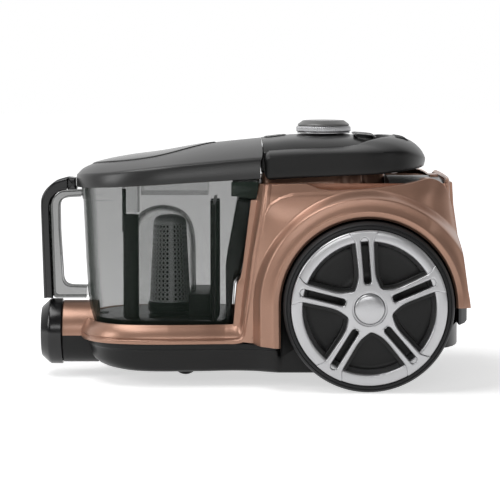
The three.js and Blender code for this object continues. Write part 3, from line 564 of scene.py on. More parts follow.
def distance_to_line(x, z, line):
    """Distance of each point from a polyline."""
    line = np.array(line, float)
    start, step = line[:-1], np.diff(line, axis=0)
    p = np.stack([x, z], -1)[..., None, :] - start
    along = np.clip((p * step).sum(-1) / (step * step).sum(-1), 0, 1)
    return np.linalg.norm(p - along[..., None] * step, axis=-1).min(-1)


def panel_surface(x, z):
    """Half width of the side panel with the step beside its front and top edges: outside
    the line the panel lies 1.5 mm lower, and the step fades out low down and to the rear."""
    line = np.array(FRONT_STEP)
    inside = (z < 194.2) & (x > np.interp(z, line[:-2, 1], line[:-2, 0]))
    away = distance_to_line(x, z, FRONT_STEP) * np.where(inside, 1, -1)
    held = smooth_step(z, 50, 100) * (1 - smooth_step(x, 55, 105))
    return panel_width(x, z) - 1.5 * (1 - smooth_step(away, -1.6, 1.6)) * held


def side_panel(side):
    """Side panel: rays from the axle, each cut into steps from the wheel opening out to the
    panel's outline, with the width worked out at every point and the edges folded inwards."""
    outline = np.concatenate([
        [[-16, 46.2], [-13.1, 47.4], [-9, 51], [-7.8, 54.6], [-5.1, 72.9], [-0.8, 99.9], [3.5, 132.1],
         [9.3, 164.3], [11.4, 175], [15, 202]],
        filleted([[15, 202], [53.5, 202.9], [60, 199.4], [66, 197], [79.1, 195.9], [104.6, 197],
                  [128.4, 199.2], [152.1, 202.9], [166.6, 206.5]], 5)[1:],
        filleted([[166.6, 206.5], [176, 209], [191, 201], [rear_line(176), 176]], 12)[1:],
        [[rear_line(z), z] for z in (160.0, 145, 130, 115, 100, 90, 82)],
        [[150, 82], [26, 43.2], [16.9, 44], [-1.3, 45.8]],
    ])
    centre = np.array([WHEEL_X, WHEEL_Z])
    # The last stretch inside the opening is dropped: rays meet the outline beyond it.
    corner = np.array([26, 43.2])
    start_angle = math.degrees(math.atan2(82 - WHEEL_Z, rear_line(82) - WHEEL_X))
    end_angle = math.degrees(math.atan2(corner[1] - WHEEL_Z, corner[0] - WHEEL_X)) + 360
    angle = np.radians(np.linspace(start_angle, end_angle, 560))
    ray = np.stack([np.cos(angle), np.sin(angle)], -1)
    a, b = outline - centre, np.roll(outline, -1, 0) - centre
    edge = b - a
    cross = ray[:, None, 0] * edge[None, :, 1] - ray[:, None, 1] * edge[None, :, 0]
    cross = np.where(np.abs(cross) < 1e-9, 1e-9, cross)
    reach = (a[:, 0] * edge[:, 1] - a[:, 1] * edge[:, 0])[None] / cross
    share = (a[None, :, 0] * ray[:, None, 1] - a[None, :, 1] * ray[:, None, 0]) / cross
    hit = (share >= -1e-6) & (share <= 1 + 1e-6) & (reach > 60)
    far = np.where(hit, reach, 0).max(1)
    opening = size("arch_radius")
    near = np.where(angle <= math.pi, opening, opening / np.abs(np.cos(angle)))
    far = np.maximum(far, near + 0.05)
    fine = np.minimum(near + 32, near + 0.55 * (far - near))
    t1, t2 = np.linspace(0, 1, 56), np.linspace(0, 1, 60)[1:]
    radius = np.concatenate([
        near[:, None] + (fine - near)[:, None] * t1, fine[:, None] + (far - fine)[:, None] * t2], 1)
    x, z = centre[0] + ray[:, :1] * radius, centre[1] + ray[:, 1:] * radius
    face = np.stack([x, panel_surface(x, z), z], -1)
    # A small roll-over and then the fold inwards, on the opening's edge and on the outline.
    outward = np.stack([ray[:, 0], np.zeros(len(ray)), ray[:, 1]], -1)
    lip = [face[:, 0] + outward * out - [0, deep, 0] for out, deep in ((-0.9, 6), (-0.9, 1.2), (-0.5, 0.35))]
    folded = [face[:, -1] + outward * out - [0, deep, 0] for out, deep in ((0.35, 0.4), (0.5, 1.2))]
    inside = face[:, -1] + outward * 0.5
    top = smooth_step(face[:, -1, 2], 180, 186)
    inside[:, 1] = np.where(top > 0.5, np.minimum(inside[:, 1], 91), np.maximum(inside[:, 1] - 9, 69.7))
    at_rear = (face[:, -1, 0] > rear_line(face[:, -1, 2]) - 1.5) & (top < 0.5)
    at_rear |= face[:, -1, 0] > 166
    inside[:, 1] = np.where(at_rear, 78, inside[:, 1])
    inside[:, 0] -= 2.6 * at_rear
    grid = np.stack([*lip, *np.moveaxis(face, 1, 0), *folded, inside], 0)
    grid[..., 1] *= side
    return Moulding().grid(grid)


def wheel_well_painted_shade(side):
    """Liner of the wheel opening, a short drum behind the opening's edge and its end: its shape is the well's
    own, its black is painted shade for the shadow between the arch and the tyre.
    """
    angle = np.radians(np.linspace(-8, 212, 180))
    opening = size("arch_radius") - 0.9
    near = np.where(angle <= math.pi, opening, opening / np.abs(np.cos(angle)))
    radius = np.stack([near, near, near * 0.97, near * 0])
    depth = np.array([126, 101, 99.7, 99.7])[:, None] + radius * 0
    rim = panel_width(WHEEL_X + near * np.cos(angle), WHEEL_Z + near * np.sin(angle))
    depth[0] = np.minimum(rim - 5, 126)
    grid = np.stack([WHEEL_X + radius * np.cos(angle), side * depth, WHEEL_Z + radius * np.sin(angle)], -1)
    return Moulding().grid(grid)


# Rails of the front moulding, from the top of a side panel's front edge down, round the
# corner and forward: its outer bead, the crease beside it and the rim.
BEAD_RAIL = [[14.6, RAIL_TOP], [11.2, 175], [9.3, 164.3], [3.5, 132.1], [-0.8, 99.9], [-5.1, 72.9],
             [-7.8, 54.6], [-9.4, 49.6], [-13.6, 47.2], [-20, 46.8], [RAIL_END, 46.8]]
CREASE_RAIL = [[10.4, RAIL_TOP], [6.7, 175], [5.2, 164.3], [-0.8, 132.1], [-4.8, 99.9], [-8.3, 72.9],
               [-10.5, 56.7], [-12.1, 52.4], [-15.3, 50.4], [-21, 49.8], [RAIL_END, 49.7]]
RIM_RAIL = [[5.6, RAIL_TOP], [2.2, 175], [0.4, 164.3], [-5, 132], [-9.7, 99.9], [-12.9, 74],
            [-14.2, 65.5], [-16.4, 63.4], [-20.2, 62.2], [-24, 61.8], [RAIL_END, 61.7]]


def tray_plan(count):
    """Plan of the tray from the waist forward round the nose to the middle plane."""
    nose = oval_nose(TRAY_TIP, TRAY_SHOULDER, TRAY_HALF, TRAY_POWER, 90)[::-1]
    side = [[x, eased(x, [[TRAY_SHOULDER, TRAY_HALF], [-50, 102.5], [RAIL_END, 100], [-20, 99.8]])]
            for x in np.linspace(RAIL_END, TRAY_SHOULDER, 14)]
    return resampled(np.concatenate([side[:-1], nose]), count)


def front_moulding():
    """Copper tray and the posts it grows out of: one profile, of bead, groove, wall and
    rolled rim, carried down the post, round the corner and round the nose."""
    tray = 200
    rails = []
    plan = tray_plan(tray)
    normal = inward_normals(plan)
    normal[0] = [0, -1]
    normal[-1] = [1, 0]
    for rail, inset_post, inset_tray, height in (
            (BEAD_RAIL, (0.2, 0.2), 0.0, 46.8), (CREASE_RAIL, (1.2, 0.6), 0.2, 49.7),
            (RIM_RAIL, (12.5, 9), 7.8, 61.7)):
        line = np.array(rail, float)
        line = np.concatenate([resampled(line[:7], 80), resampled(filleted(line[6:], 1.5), 41)[1:]])
        drop = (RAIL_TOP - line[:, 1]) / 150
        inset = inset_post[0] + (inset_post[1] - inset_post[0]) * np.clip(drop, 0, 1)
        inset = inset + (inset_tray - inset) * smooth_step(-line[:, 0], 9, 27)
        width = panel_width(np.maximum(line[:, 0], -8.8), line[:, 1])
        width = width + (eased(line[:, 0], [[RAIL_END, 100], [-20, 100.4], [-8, 102.6], [0, 107], [20, 113]])
                         - width) * smooth_step(-line[:, 0], 6, 14) * (line[:, 1] < 80)
        post = np.stack([line[:, 0], width - inset, line[:, 1]], -1)
        flat = plan + normal * inset_tray
        rise = np.full(tray, height)
        rails.append(np.concatenate([post, np.column_stack([flat, rise])[1:]]))
    bead, crease, rim = rails
    out = np.concatenate([np.tile([0.0, 1, 0], (len(bead) - tray + 1, 1)),
                          np.column_stack([-normal, np.zeros(tray)])[1:]])
    tilt = np.concatenate([np.zeros(80), smooth_step(np.arange(40), 0, 32), np.ones(tray - 1)])
    tilt = tilt * math.pi / 2
    up = np.stack([-np.cos(tilt), 0 * tilt, np.sin(tilt)], -1)
    columns = [bead - up * 3.2 - out * 4, bead - up * 3.2 - out * 0.9, bead - up * 2.9 - out * 0.35,
               bead - up * 1 - out * 0.05, bead]
    for share, deep in ((0.2, 0.35), (0.38, 0.95), (0.6, 1.15), (0.82, 0.75), (0.94, 0.2)):
        columns.append(bead + (crease - bead) * share - out * deep)
    for share in np.linspace(0, 1, 12):
        columns.append(crease + (rim - crease) * share + out * 1.3 * math.sin(math.pi * share) ** 0.8)
    for high, deep in ((0.45, 0.35), (0.6, 1.0), (0.35, 1.8), (-0.4, 2.5), (-2.2, 2.9), (-8.5, 3.2)):
        columns.append(rim + up * high - out * deep)
    half = np.stack(columns, 0)
    return Moulding().grid(half).mirrored()


def bay_wall():
    """Wall behind the bin and the tray's floor: a side profile carried straight across, and
    strips from the rim's inner side to the middle plane."""
    profile = filleted([[-30, TRAY_FLOOR], [-21.2, TRAY_FLOOR + 0.1], [-20.2, 62], [-16.4, 104.2],
                        [-9.4, 113.4], [3.4, 187], [5.4, 202.4], [8.4, 202.4], [9.2, 193.4], [30, 193.2]],
                       [0, 3, 2, 4, 6, 1, 0.8, 0.8, 1, 0])
    across = np.concatenate([[-94, -94, -93.6, -93, -90, -89.4], np.linspace(-88.4, 88.4, 20),
                             [89.4, 90, 93, 93.6, 94, 94]])
    inset = np.concatenate([[20, 1, 0.25], np.zeros(26), [0.25, 1, 20]])
    # Beside the bin the wall's two edges stand a little further forward.
    forward = eased(profile[:, 1], [[112, -12.5], [127, -9.5], [160, -5.5], [189.5, -2.2]]) - profile[:, 0]
    forward = np.minimum(forward, 0) * (profile[:, 1] > 110)
    x = profile[:, 0][:, None] + inset * (profile[:, 1] > 60)[:, None]
    x = x + forward[:, None] * smooth_step(np.abs(across), 88.2, 89.4)
    # The bin's corner block sits above the wing.
    x = np.where((np.abs(across) > 84) & (profile[:, 1:] > 186.9), np.maximum(x, 6.6), x)
    y = np.broadcast_to(across, x.shape)
    wall = Moulding().grid(np.stack([x, y, np.broadcast_to(profile[:, 1:], x.shape)], -1))
    plan = tray_plan(160)
    edge = plan + inward_normals(plan) * 10.4
    foot = resampled(oval_nose(-168.2, -75, 85.4, 2.2, 90)[::-1], 150)
    straight = np.linspace(RAIL_END, -75, 10, endpoint=False)
    foot = np.concatenate([np.column_stack([straight, np.full(10, 85.4)]), foot])
    rows = np.stack([level(line, z) for line, z in (
        (edge, 59.6), (edge * 0.5 + foot * 0.5, 59.9), (foot + [0, 0.5], 59.9), (foot, 59.4),
        *[(foot * [1, share], TRAY_FLOOR) for share in (0.99, 0.5, 0)])])
    rows[..., 1] = rows[..., 1].clip(0)
    return wall.grid(rows).grid(rows[::-1] * [1, -1, 1])


def turret():
    """Raised wall under the control panel and the sunken top of the body round it."""
    half = filleted([[8.2, 0], [8.2, 60], [87, 60], [97, 47], [110, 44], [112, 26], [134, 22], [134, 0]],
                    [0, 4, 7, 5, 5, 5, 7, 0], steps=7)
    outline = resampled(both_halves(half), 240, closed=True)
    inward = inward_normals(outline, closed=True)
    inward *= np.sign((inward * (np.array([70, 0]) - outline)).sum(1, keepdims=True))
    rings = [level(outline + inward * inset, z)
             for inset, z in ((-3, 192.8), (-1, 193.2), (-0.3, 194.4), (0, 196), (0.6, 210.6),
                              (1.1, 211.6), (2.2, 212), (5, 212), (5.4, 208))]
    edge = np.array([[92, 203], [91.4, 201], [91.2, 195], [90, DECK + 0.3], [88, DECK]])
    section = np.concatenate([edge * [-1, 1], edge[::-1]])
    deck = [[[x, y, z] for x in np.linspace(9, 190, 60)] for y, z in section]
    return Moulding().round(rings).grid(deck)


def rear_frame():
    """Copper frame round the exhaust door: a flat band between two rounded rectangles,
    bent to the lean of the rear and folded in at both edges."""
    def ring(half, low, high, radius, sunk, crown=3.0):
        """A rounded rectangle on the rear's lean, bowed towards its sides by a cube."""
        line = resampled(filleted([[-half, low], [half, low], [half, high], [-half, high]],
                                  radius, steps=7, closed=True), 280, closed=True)
        x = rear_line(line[:, 1]) + 1.6 - sunk - crown * (np.abs(line[:, 0]) / 84) ** 3
        return np.column_stack([x, line])
    rings = [ring(70.3, 91.7, 203.3, 3, 5), ring(70.3, 91.7, 203.3, 3, 0.6), ring(70.7, 91.3, 203.6, 3, 0.1),
             ring(71.4, 90.6, 204, 3.4, 0), ring(78, 86, 206, 6, 0.4), ring(81, 83.4, 207, 8, 0.9),
             ring(82, 82.6, FRAME_TOP, 8, 2), ring(82, 82.6, FRAME_TOP - 0.2, 8, 3.4),
             ring(91.2, 82.6, 205, 12, 4.5)]
    return Moulding().round(rings)


class VACUUM_OT_body(bpy.types.Operator):
    """Make the copper body, from the side panels to the rear frame, and the black wheel-well liners, which
    are painted shade
    """

    bl_idname = "vacuum.body"
    bl_label = "Body"

    def execute(self, context):
        for name, side in SIDES.items():
            side_panel(side).finish(f"side_panel_{name}", copper, "body_shell")
            # Each wheel well's black liner is painted shade for the shadow in the gap round the tyre.
            wheel_well_painted_shade(side).finish(f"wheel_well_painted_shade_{name}", black_satin, body="base", slot="black_satin")
        front_moulding().finish("front_moulding", copper, "body_shell")
        bay_wall().finish("bay_wall", copper, "body_shell")
        turret().finish("deck_turret", copper, "body_shell")
        rear_frame().finish("rear_frame", copper, "body_shell")
        return {"FINISHED"}


# ------------------------------------------------------------------ pan
def pan_outline(z, count=360):
    """Plan of the black pan at a height: blunt nose, waist, wheel wells and rounded rear."""
    nose_inset = eased(z, [[14.5, 34], [18, 20], [26, 11], [37.4, 8.6], [38.3, 7], [43.2, 6.4], [62, 6.4]])
    side_inset = eased(z, [[14.5, 18], [16, 13], [20, 10.5], [37.4, 7.8], [38.4, 2.6], [43.2, 2], [62, 2]])
    rear_inset = eased(z, [[14.5, 60], [18, 44], [25, 26], [31, 13.4], [48, 4.6], [62, 2.8]])
    nose = oval_nose(TRAY_TIP + nose_inset, TRAY_SHOULDER, TRAY_HALF - side_inset, TRAY_POWER, 60)
    x = np.linspace(-82, 148, 110)
    side = eased(x, [[TRAY_SHOULDER, TRAY_HALF], [-50, 102.5], [-20, 98], [0, 101], [20, 111],
                     [26, 113], [60, 113], [200, 113]])
    side = np.column_stack([x, side - side_inset])
    tail = oval_nose(213.6 - rear_inset, 150, 113 - side_inset, 3.2, 60)[::-1]
    half = np.concatenate([nose, side, tail])
    wells = smooth_step(half[:, 0], 22, 28) * (1 - smooth_step(half[:, 0], 198, 204))
    half[:, 1] += (np.minimum(half[:, 1], 99.3) - half[:, 1]) * wells
    return both_halves(resampled(half, count // 2 + 1))


def lower_pan():
    """Black pan: its plan at each height, joined from the seam down to the flat underside,
    with a step under the seam and the rear raised to the bumper."""
    rings = []
    for z in (43.2, 43.2, 42.4, 38.6, 38.2, 37.6, 37.0, 34, 31, 28, 25, 22, 19, 16.8, 15.3, 14.5):
        ring = pan_outline(z)
        rings.append(level(ring, z + smooth_step(ring[:, 0], 168, 205) * 18.6))
    rings[0][:, 2] = 40
    return Moulding().round([rings[0] * [1, 0, 1], *rings, rings[-1] * [1, 0, 1]])


class VACUUM_OT_pan(bpy.types.Operator):
    """Make the black pan under the body"""

    bl_idname = "vacuum.pan"
    bl_label = "Pan"

    def execute(self, context):
        lower_pan().finish("lower_pan", black_satin, "chassis_pan")
        half_tube(178, 362, 31.9, -160).finish("lower_tube", black_satin, "chassis_pan")
        return {"FINISHED"}


# ------------------------------------------------------------------ hose inlet
INLET_AT = (0, 0, (RING_LOW[2] + RING_HIGH[2]) / 2)
RING_RADIUS = (RING_HIGH[2] - RING_LOW[2]) / 2


def hose_ring():
    """Hose socket: a round collar with a broad chamfer and a stepped bore."""
    r, front, back = RING_RADIUS, RING_LOW[0], RING_HIGH[0]
    profile = filleted([[20.5, -150], [20.5, front + 6], [23.5, front + 6], [23.5, front], [25.4, front],
                        [r, front + 9], [r, back], [r - 3, back]],
                       [0, 1, 0.6, 0.5, 0.8, 2.2, 1, 0])
    return Moulding().round(turned("x", profile, INLET_AT, 128))


def half_tube(from_angle, to_angle, radius, end):
    """Half of the tube behind the hose socket, between two angles round it."""
    angle = np.radians(np.linspace(from_angle, to_angle, 70))
    profile = filleted([[radius - 5, -195.6], [radius, -195.6], [radius, end]], [0, 1.1, 0])
    r, x = profile[:, :1], profile[:, 1:]
    grid = np.stack([x + 0 * angle, r * np.cos(angle), r * np.sin(angle) + INLET_AT[2]], -1)
    return Moulding().grid(grid)


class VACUUM_OT_inlet(bpy.types.Operator):
    """Make the hose socket and the copper cover behind it"""

    bl_idname = "vacuum.inlet"
    bl_label = "Hose inlet"

    def execute(self, context):
        hose_ring().finish("hose_collar", black_gloss, "hose_inlet_ring")
        half_tube(-2, 182, 32, -160).finish("inlet_half_tube", copper, "inlet_cover")
        return {"FINISHED"}


# ------------------------------------------------------------------ wheels
SPOKES = 5
SPOKE_ANGLES = [math.radians(94.5) + k * 2 * math.pi / SPOKES for k in range(SPOKES)]
SLOT_FROM, SLOT_TO = 24.2, 69.1


def spoke_outline():
    """Outline of one spoke lying along +X: an arc across the hub, fillets, slightly spread
    bars, pointed wings and an arc at the rim, from the middle of one fillet round."""
    half_step = math.pi / SPOKES
    arc = np.linspace(-half_step, half_step, 40)
    hub = 22.6 * np.stack([np.cos(arc), np.sin(arc)], -1)
    root = 22.7 * np.array([math.cos(half_step), math.sin(half_step)])
    tip = 74.6 * np.array([math.cos(math.radians(10.9)), math.sin(math.radians(10.9))])
    bar = filleted([root, root + [3.4, -1.6], [32, 8.25], [50, 8.8], [66.5, 9.4], tip],
                   [0, 2.5, 9, 3, 3.5, 0], steps=12)
    end = np.linspace(math.radians(10.9), -math.radians(10.9), 30)
    rim = 76.4 * np.stack([np.cos(end), np.sin(end)], -1)
    upper = resampled(bar, 70)
    return hub, np.concatenate([upper, rim, upper[::-1] * [1, -1]])


def wheel_face(radius):
    """How far the face of the spokes stands out at a radius: a shallow dome."""
    return eased(radius, [[0, 148.2], [22, 147.2], [45, 145.6], [66, 143.6], [80, 142.4]])


def on_wheel(points, side):
    """Turns [along, across, out] points of a wheel's own frame into the machine's."""
    points = np.asarray(points, float)
    along, across, out = points[..., 0], points[..., 1], points[..., 2]
    return np.stack([WHEEL_X - side * along, side * out, WHEEL_Z + across], -1)


def spun(points, angle):
    """Points turned about the wheel's axis."""
    c, s = math.cos(angle), math.sin(angle)
    return np.stack([points[..., 0] * c - points[..., 1] * s,
                     points[..., 0] * s + points[..., 1] * c, points[..., 2]], -1)


def wheel_trim(side):
    """Spoked trim: each spoke is a face stretched between its outline and its slot, with rolled edges
    on both. The turned ring of the rim under the spokes' ends is added by wheel_pieces."""
    trim = Moulding()
    slot = size("spoke_slot") / 2
    hub, edge = spoke_outline()
    loop = np.concatenate([hub, edge[1:-1]])
    free = np.concatenate([np.zeros(len(hub)), np.ones(len(edge) - 2)])
    free[:3] = [0.9, 0.6, 0.3]
    free[len(hub) - 3:len(hub)] = [0.3, 0.6, 0.9]
    axis = np.stack([np.clip(loop[:, 0], SLOT_FROM + slot, SLOT_TO - slot), loop[:, 0] * 0], -1)
    away = loop - axis
    away /= np.linalg.norm(away, axis=1, keepdims=True)
    inner = axis + away * slot
    span = np.linalg.norm(loop - inner, axis=1)
    rows = []

    def row(point, drop=0):
        """The wheel's face over a line, less a drop."""
        rows.append(level(point, wheel_face(np.hypot(*point.T)) - drop))
    for distance, drop in ((0, 9), (0, 1.9), (0.35, 1.1), (0.8, 0.5), (1.3, 0.12), (1.8, 0)):
        row(loop - away * distance, drop * free)
    for share in (0.3, 0.5, 0.7):
        row(loop - away * (span * share)[:, None])
    for distance, drop in ((1.5, 0), (1.05, 0.12), (0.65, 0.5), (0.3, 1.1), (0, 1.9), (0, 8)):
        row(inner + away * distance, drop)
    spoke = np.stack(rows)
    for angle in SPOKE_ANGLES:
        trim.grid(on_wheel(spun(spoke, angle), side), columns_meet=True)
    return trim


def wheel_ring(profile, side, steps=160):
    """A [radius, out] profile turned about the wheel's axis."""
    return on_wheel(turned("z", profile, (0, 0, 0), steps), side)


def wheel_pieces(side, name):
    """The pieces of one big wheel: tyre, dark disc, spoked trim and domed hub cap."""
    r = size("tyre_radius")
    tyre = filleted([[72, 107], [72, 106.2], [80.5, 106.2], [r, 111], [r, 118.4], [r - 1.1, 118.8],
                     [r - 1.1, 120.4], [r, 120.8], [r, 130.4], [r - 1.3, 134.8], [81, 137],
                     [80.6, 136.4], [79.9, 136.4], [79.5, 137.9], [77.6, 138.6], [76.6, 137.6],
                     [76.6, 133], [72, 133]], 0.7)
    Moulding().round(wheel_ring(tyre, side, 192)).finish(f"wheel_{name}_tread", rubber, f"wheel_{name}_tyre")
    rim = filleted([[60, 126], [64.2, 133], [64.8, 139.8], [66.4, 141.6], [72, 141.5], [75.4, 140.6],
                    [76.4, 139.2], [76.4, 133], [74, 131]], [0, 2, 1.2, 1.2, 4, 1, 1, 1, 0])
    hub = filleted([[22.7, 147.2], [17.4, 147.5], [16.9, 147.2], [16.9, 145.4], [15.2, 145.4], [15.2, 130]],
                   [0, 0.8, 0.4, 0.2, 0.2, 0])
    trim = wheel_trim(side)
    trim.round(wheel_ring(rim, side)).round(wheel_ring(hub, side, 200))
    trim.finish(f"wheel_{name}_spokes", silver, f"wheel_{name}_trim", crease=50)
    cap = filleted([[14.9, 131], [14.9, 147], [13.9, 148.6], [10, 149.5], [5, 149.9], [0, 149.95]],
                   [0, 1.4, 2, 2, 2, 0])
    Moulding().round(wheel_ring(cap, side, 96)).finish(f"wheel_{name}_dome", silver, f"wheel_{name}_cap")
    dish = filleted([[9.4, 105], [66, 105], [66, 108], [73.6, 108], [73.6, 131], [64, 131], [60, 127],
                     [30, 127.4], [21, 134], [9.4, 134]], [0, 1, 1, 1, 1, 2, 4, 8, 2, 0])
    disc = Moulding().round(wheel_ring(dish, side, 128))
    _, edge = spoke_outline()
    bar = edge[:68]
    normal = inward_normals(bar)
    normal *= np.sign((normal * (bar - [bar[:, 0].mean(), 0]))[:, 1:].sum())
    frame_rows = np.stack([level(bar + normal * outset, out) for outset, out in (
        (-1.5, 133), (-1.5, 140.2), (2.9, 139.6), (3.5, 139), (3.8, 127.5))])
    for angle in SPOKE_ANGLES:
        for flip in (1, -1):
            disc.grid(on_wheel(spun(frame_rows * [1, flip, 1], angle), side))
    disc.finish(f"wheel_{name}_web", black_satin, f"wheel_{name}_disc")


class VACUUM_OT_wheels(bpy.types.Operator):
    """Make the two big spoked wheels"""

    bl_idname = "vacuum.wheels"
    bl_label = "Wheels"

    def execute(self, context):
        for name, side in SIDES.items():
            wheel_pieces(side, name)
        return {"FINISHED"}


# ------------------------------------------------------------------ bin
BIN_FOOT, BIN_RIM = 59, 207


def lid_floor(x):
    """Height of the lid's lower edge along the machine."""
    return eased(x, [[-181, 195.4], [-168, 196.2], [-121, 199.4], [-73, 202.7], [6, 207.5]])


def bin_outline(z, margin, count=220):
    """Plan of the bin wall at a height, a margin inside its outer face."""
    front = eased(z, [[54.6, -163.8], [60, -166.4], [97, -170.8], [180, -174.4], [215, -176]]) + margin
    half = eased(z, [[54.6, 81.5], [60, 83.5], [77, 85], [215, 87]]) - margin
    rear = eased(z, [[54.6, -20.6], [103.5, -17.9], [113.5, -10.7], [190, 4.4], [215, 4.6]]) - margin
    nose = oval_nose(front, -75, half, 2.2, 60)
    tail = filleted([[-75, half], [rear, half], [rear, 0]], [0, 11, 0], steps=10)
    return both_halves(resampled(np.concatenate([nose, tail[1:]]), count // 2 + 1))


def bin_wall():
    """Clear bin: the outer wall, a thickened rim, the inner wall and the floor between."""
    wall = size("bin_wall")
    rings = []

    def ring(share, margin, sunk=0.0):
        """The wall's plan at a share of its height, where the rim meets the lid's lower edge."""
        line = bin_outline(BIN_FOOT + share * (BIN_RIM - BIN_FOOT) - sunk, margin)
        rings.append(level(line, BIN_FOOT - sunk + share * (lid_floor(line[:, 0]) - BIN_FOOT)))
    for place in ((0, 30, 4.4), (0, 5, 4.4), (0, 2.6, 4), (0, 0.8, 2.4),
                  *[(share, 0) for share in np.linspace(0, 0.9, 26)],
                  (0.905, -0.8), (0.93, -0.9), (1.0, -0.9), (1.0, wall),
                  *[(share, wall) for share in np.linspace(0.97, 0, 22)],
                  (0, wall + 1, 0.6), (0, wall + 4, 2), (0, 30, 2)):
        ring(*place)
    grid = np.stack(rings)
    ends = [np.broadcast_to([-85, 0, end[0, 2]], end.shape)[None] for end in (grid[0], grid[-1])]
    return Moulding().round(np.concatenate([ends[0], grid, ends[1]]))


def strip(outer, inner, half, edge, count=110, radius=4):
    """A bent bar between two side-view lines, of a given half width, its edges rounded."""
    outer = resampled(filleted(outer, radius), count)
    inner = resampled(filleted(inner, radius), count)
    rings = []
    turn = np.radians([0, 30, 60, 90])
    section = []
    for across, ycorner in ((1, 1), (0, 1), (0, -1), (1, -1)):
        order = turn if (across, ycorner) in ((1, 1), (0, -1)) else turn[::-1]
        for t in order:
            inset_x, inset_y = edge * (1 - math.sin(t)), edge * (1 - math.cos(t))
            section.append((across, inset_x, ycorner * (half - inset_y)))
    span = np.linalg.norm(outer - inner, axis=1)
    for across, inset, y in section:
        share = inset / span if across == 0 else 1 - inset / span
        point = outer + (inner - outer) * share[:, None]
        rings.append(np.column_stack([point[:, 0], np.full(count, y), point[:, 1]]))
    return np.stack(rings, 1)


GRIP_OUTER = [[-191, 204.2], [-203.6, 200.6], [-212.6, 192.6], [-217.2, 184.6], [-217.9, 176.5],
              [-217.2, 149], [-215.4, 80.4]]
GRIP_INNER = [[-191, 191.8], [-198.4, 190.5], [-206.3, 183.7], [-209, 176.5], [-208.2, 149.5], [-205.6, 80.4]]
FRAME_INNER = [[-176.2, 184.6], [-190, 184], [-196.3, 182], [-199, 177], [-198.7, 149.5], [-195.7, 99],
               [-193, 94.4], [-188, 92.6], [-171.2, 92.2]]
FRAME_OUTER = [[-176.2, 191.4], [-198.0, 190.1], [-206, 183.5], [-208.7, 176.5], [-207.9, 149.5],
               [-205.3, 80.4], [-171.4, 80.4]]


class VACUUM_OT_bin(bpy.types.Operator):
    """Make the clear dust bin"""

    bl_idname = "vacuum.bin"
    bl_label = "Bin"

    def execute(self, context):
        bin_wall().finish("clear_bin", smoky, "bin_shell")
        return {"FINISHED"}


class VACUUM_OT_bin_handle(bpy.types.Operator):
    """Make the bin's handle: a black grip round a clear frame"""

    bl_idname = "vacuum.bin_handle"
    bl_label = "Bin handle"

    def execute(self, context):
        grip = Moulding().tube(strip(GRIP_OUTER, GRIP_INNER, 15, 2.6))
        grip.finish("bin_grip", black_gloss, "bin_handle_grip")
        clear = Moulding().tube(strip(FRAME_OUTER, FRAME_INNER, 12.5, 1.2, radius=3))
        clear.finish("bin_grip_frame", clear_frame, "bin_handle_frame")
        return {"FINISHED"}


# ------------------------------------------------------------------ separator
BELL_AT = (-93, 0, 0)
FILTER_AT = (-86, 0, 0)


def bell():
    """Clear bell round the filter: a slightly tapering wall under a domed top."""
    outer = filleted([[34.3, 57.3], [33.5, 140], [30.9, 156], [24, 168], [12.3, 174], [0, 175.8]],
                     [0, 8, 8, 8, 6, 0])
    inner = outer[::-1] * [0.94, 1] - [0, 1.6]
    inner[-1, 1] = 57.3
    return Moulding().round(turned("z", np.concatenate([outer, inner, outer[:1]]), BELL_AT, 96))


def filter_radius(z):
    """Radius of the perforated cone at a height: it narrows by 4 mm in every 79 mm."""
    return 21 - (z - 77) * 4 / 79


def filter_mesh():
    """Perforated cone: cells of one hole each, every cell a square round a circle with the
    hole's own wall behind it, set in rows up the cone; each seventh column has no holes."""
    sizes = bpy.context.scene.vacuum_sizes
    rows, columns, group = 17, 28, 7
    low, high = 77.6, 156.4
    pitch = (high - low) / rows
    around = 2 * math.pi / columns
    hole = sizes.mesh_hole / sizes.mesh_pitch / 2
    turn = np.linspace(0, 2 * math.pi, 16, endpoint=False) + math.pi / 16
    circle = np.stack([np.cos(turn), np.sin(turn)], -1)
    square = circle / np.abs(circle).max(-1, keepdims=True) / 2
    loops = np.stack([square, circle * (hole + 0.05), circle * hole, circle * hole])
    deep = np.array([0, 0, 0.25, 1.6])
    i, j = np.meshgrid(np.arange(rows), [c for c in range(columns) if c % group], indexing="ij")
    u = (j[..., None, None] + 0.5 + loops[..., 0]) * around
    z = low + (i[..., None, None] + 0.5 + loops[..., 1]) * pitch
    r = filter_radius(z) - deep[:, None]
    cells = np.stack([r * np.cos(u) + FILTER_AT[0], r * np.sin(u), z], -1)
    mesh = Moulding()
    for cell in cells.reshape(-1, 4, 16, 3):
        mesh.grid(cell, columns_meet=True)
    height = np.linspace(low, high, 18)
    radius = filter_radius(height)
    for column in range(0, columns, group):
        u = (column + np.linspace(0, 1, 5)) * around
        mesh.grid(np.stack([radius[:, None] * np.cos(u) + FILTER_AT[0], radius[:, None] * np.sin(u),
                            height[:, None] + 0 * u], -1))
    foot = [[19, 76.4], [21.05, 76.4], [21, low]]
    crown = filleted([[16.98, high], [16.7, 159], [15, 162.6], [9, 165.6], [0, 166.2]], [0, 1, 2, 3, 0])
    return mesh.round(turned("z", foot, FILTER_AT, 84)).round(turned("z", crown, FILTER_AT, 84))


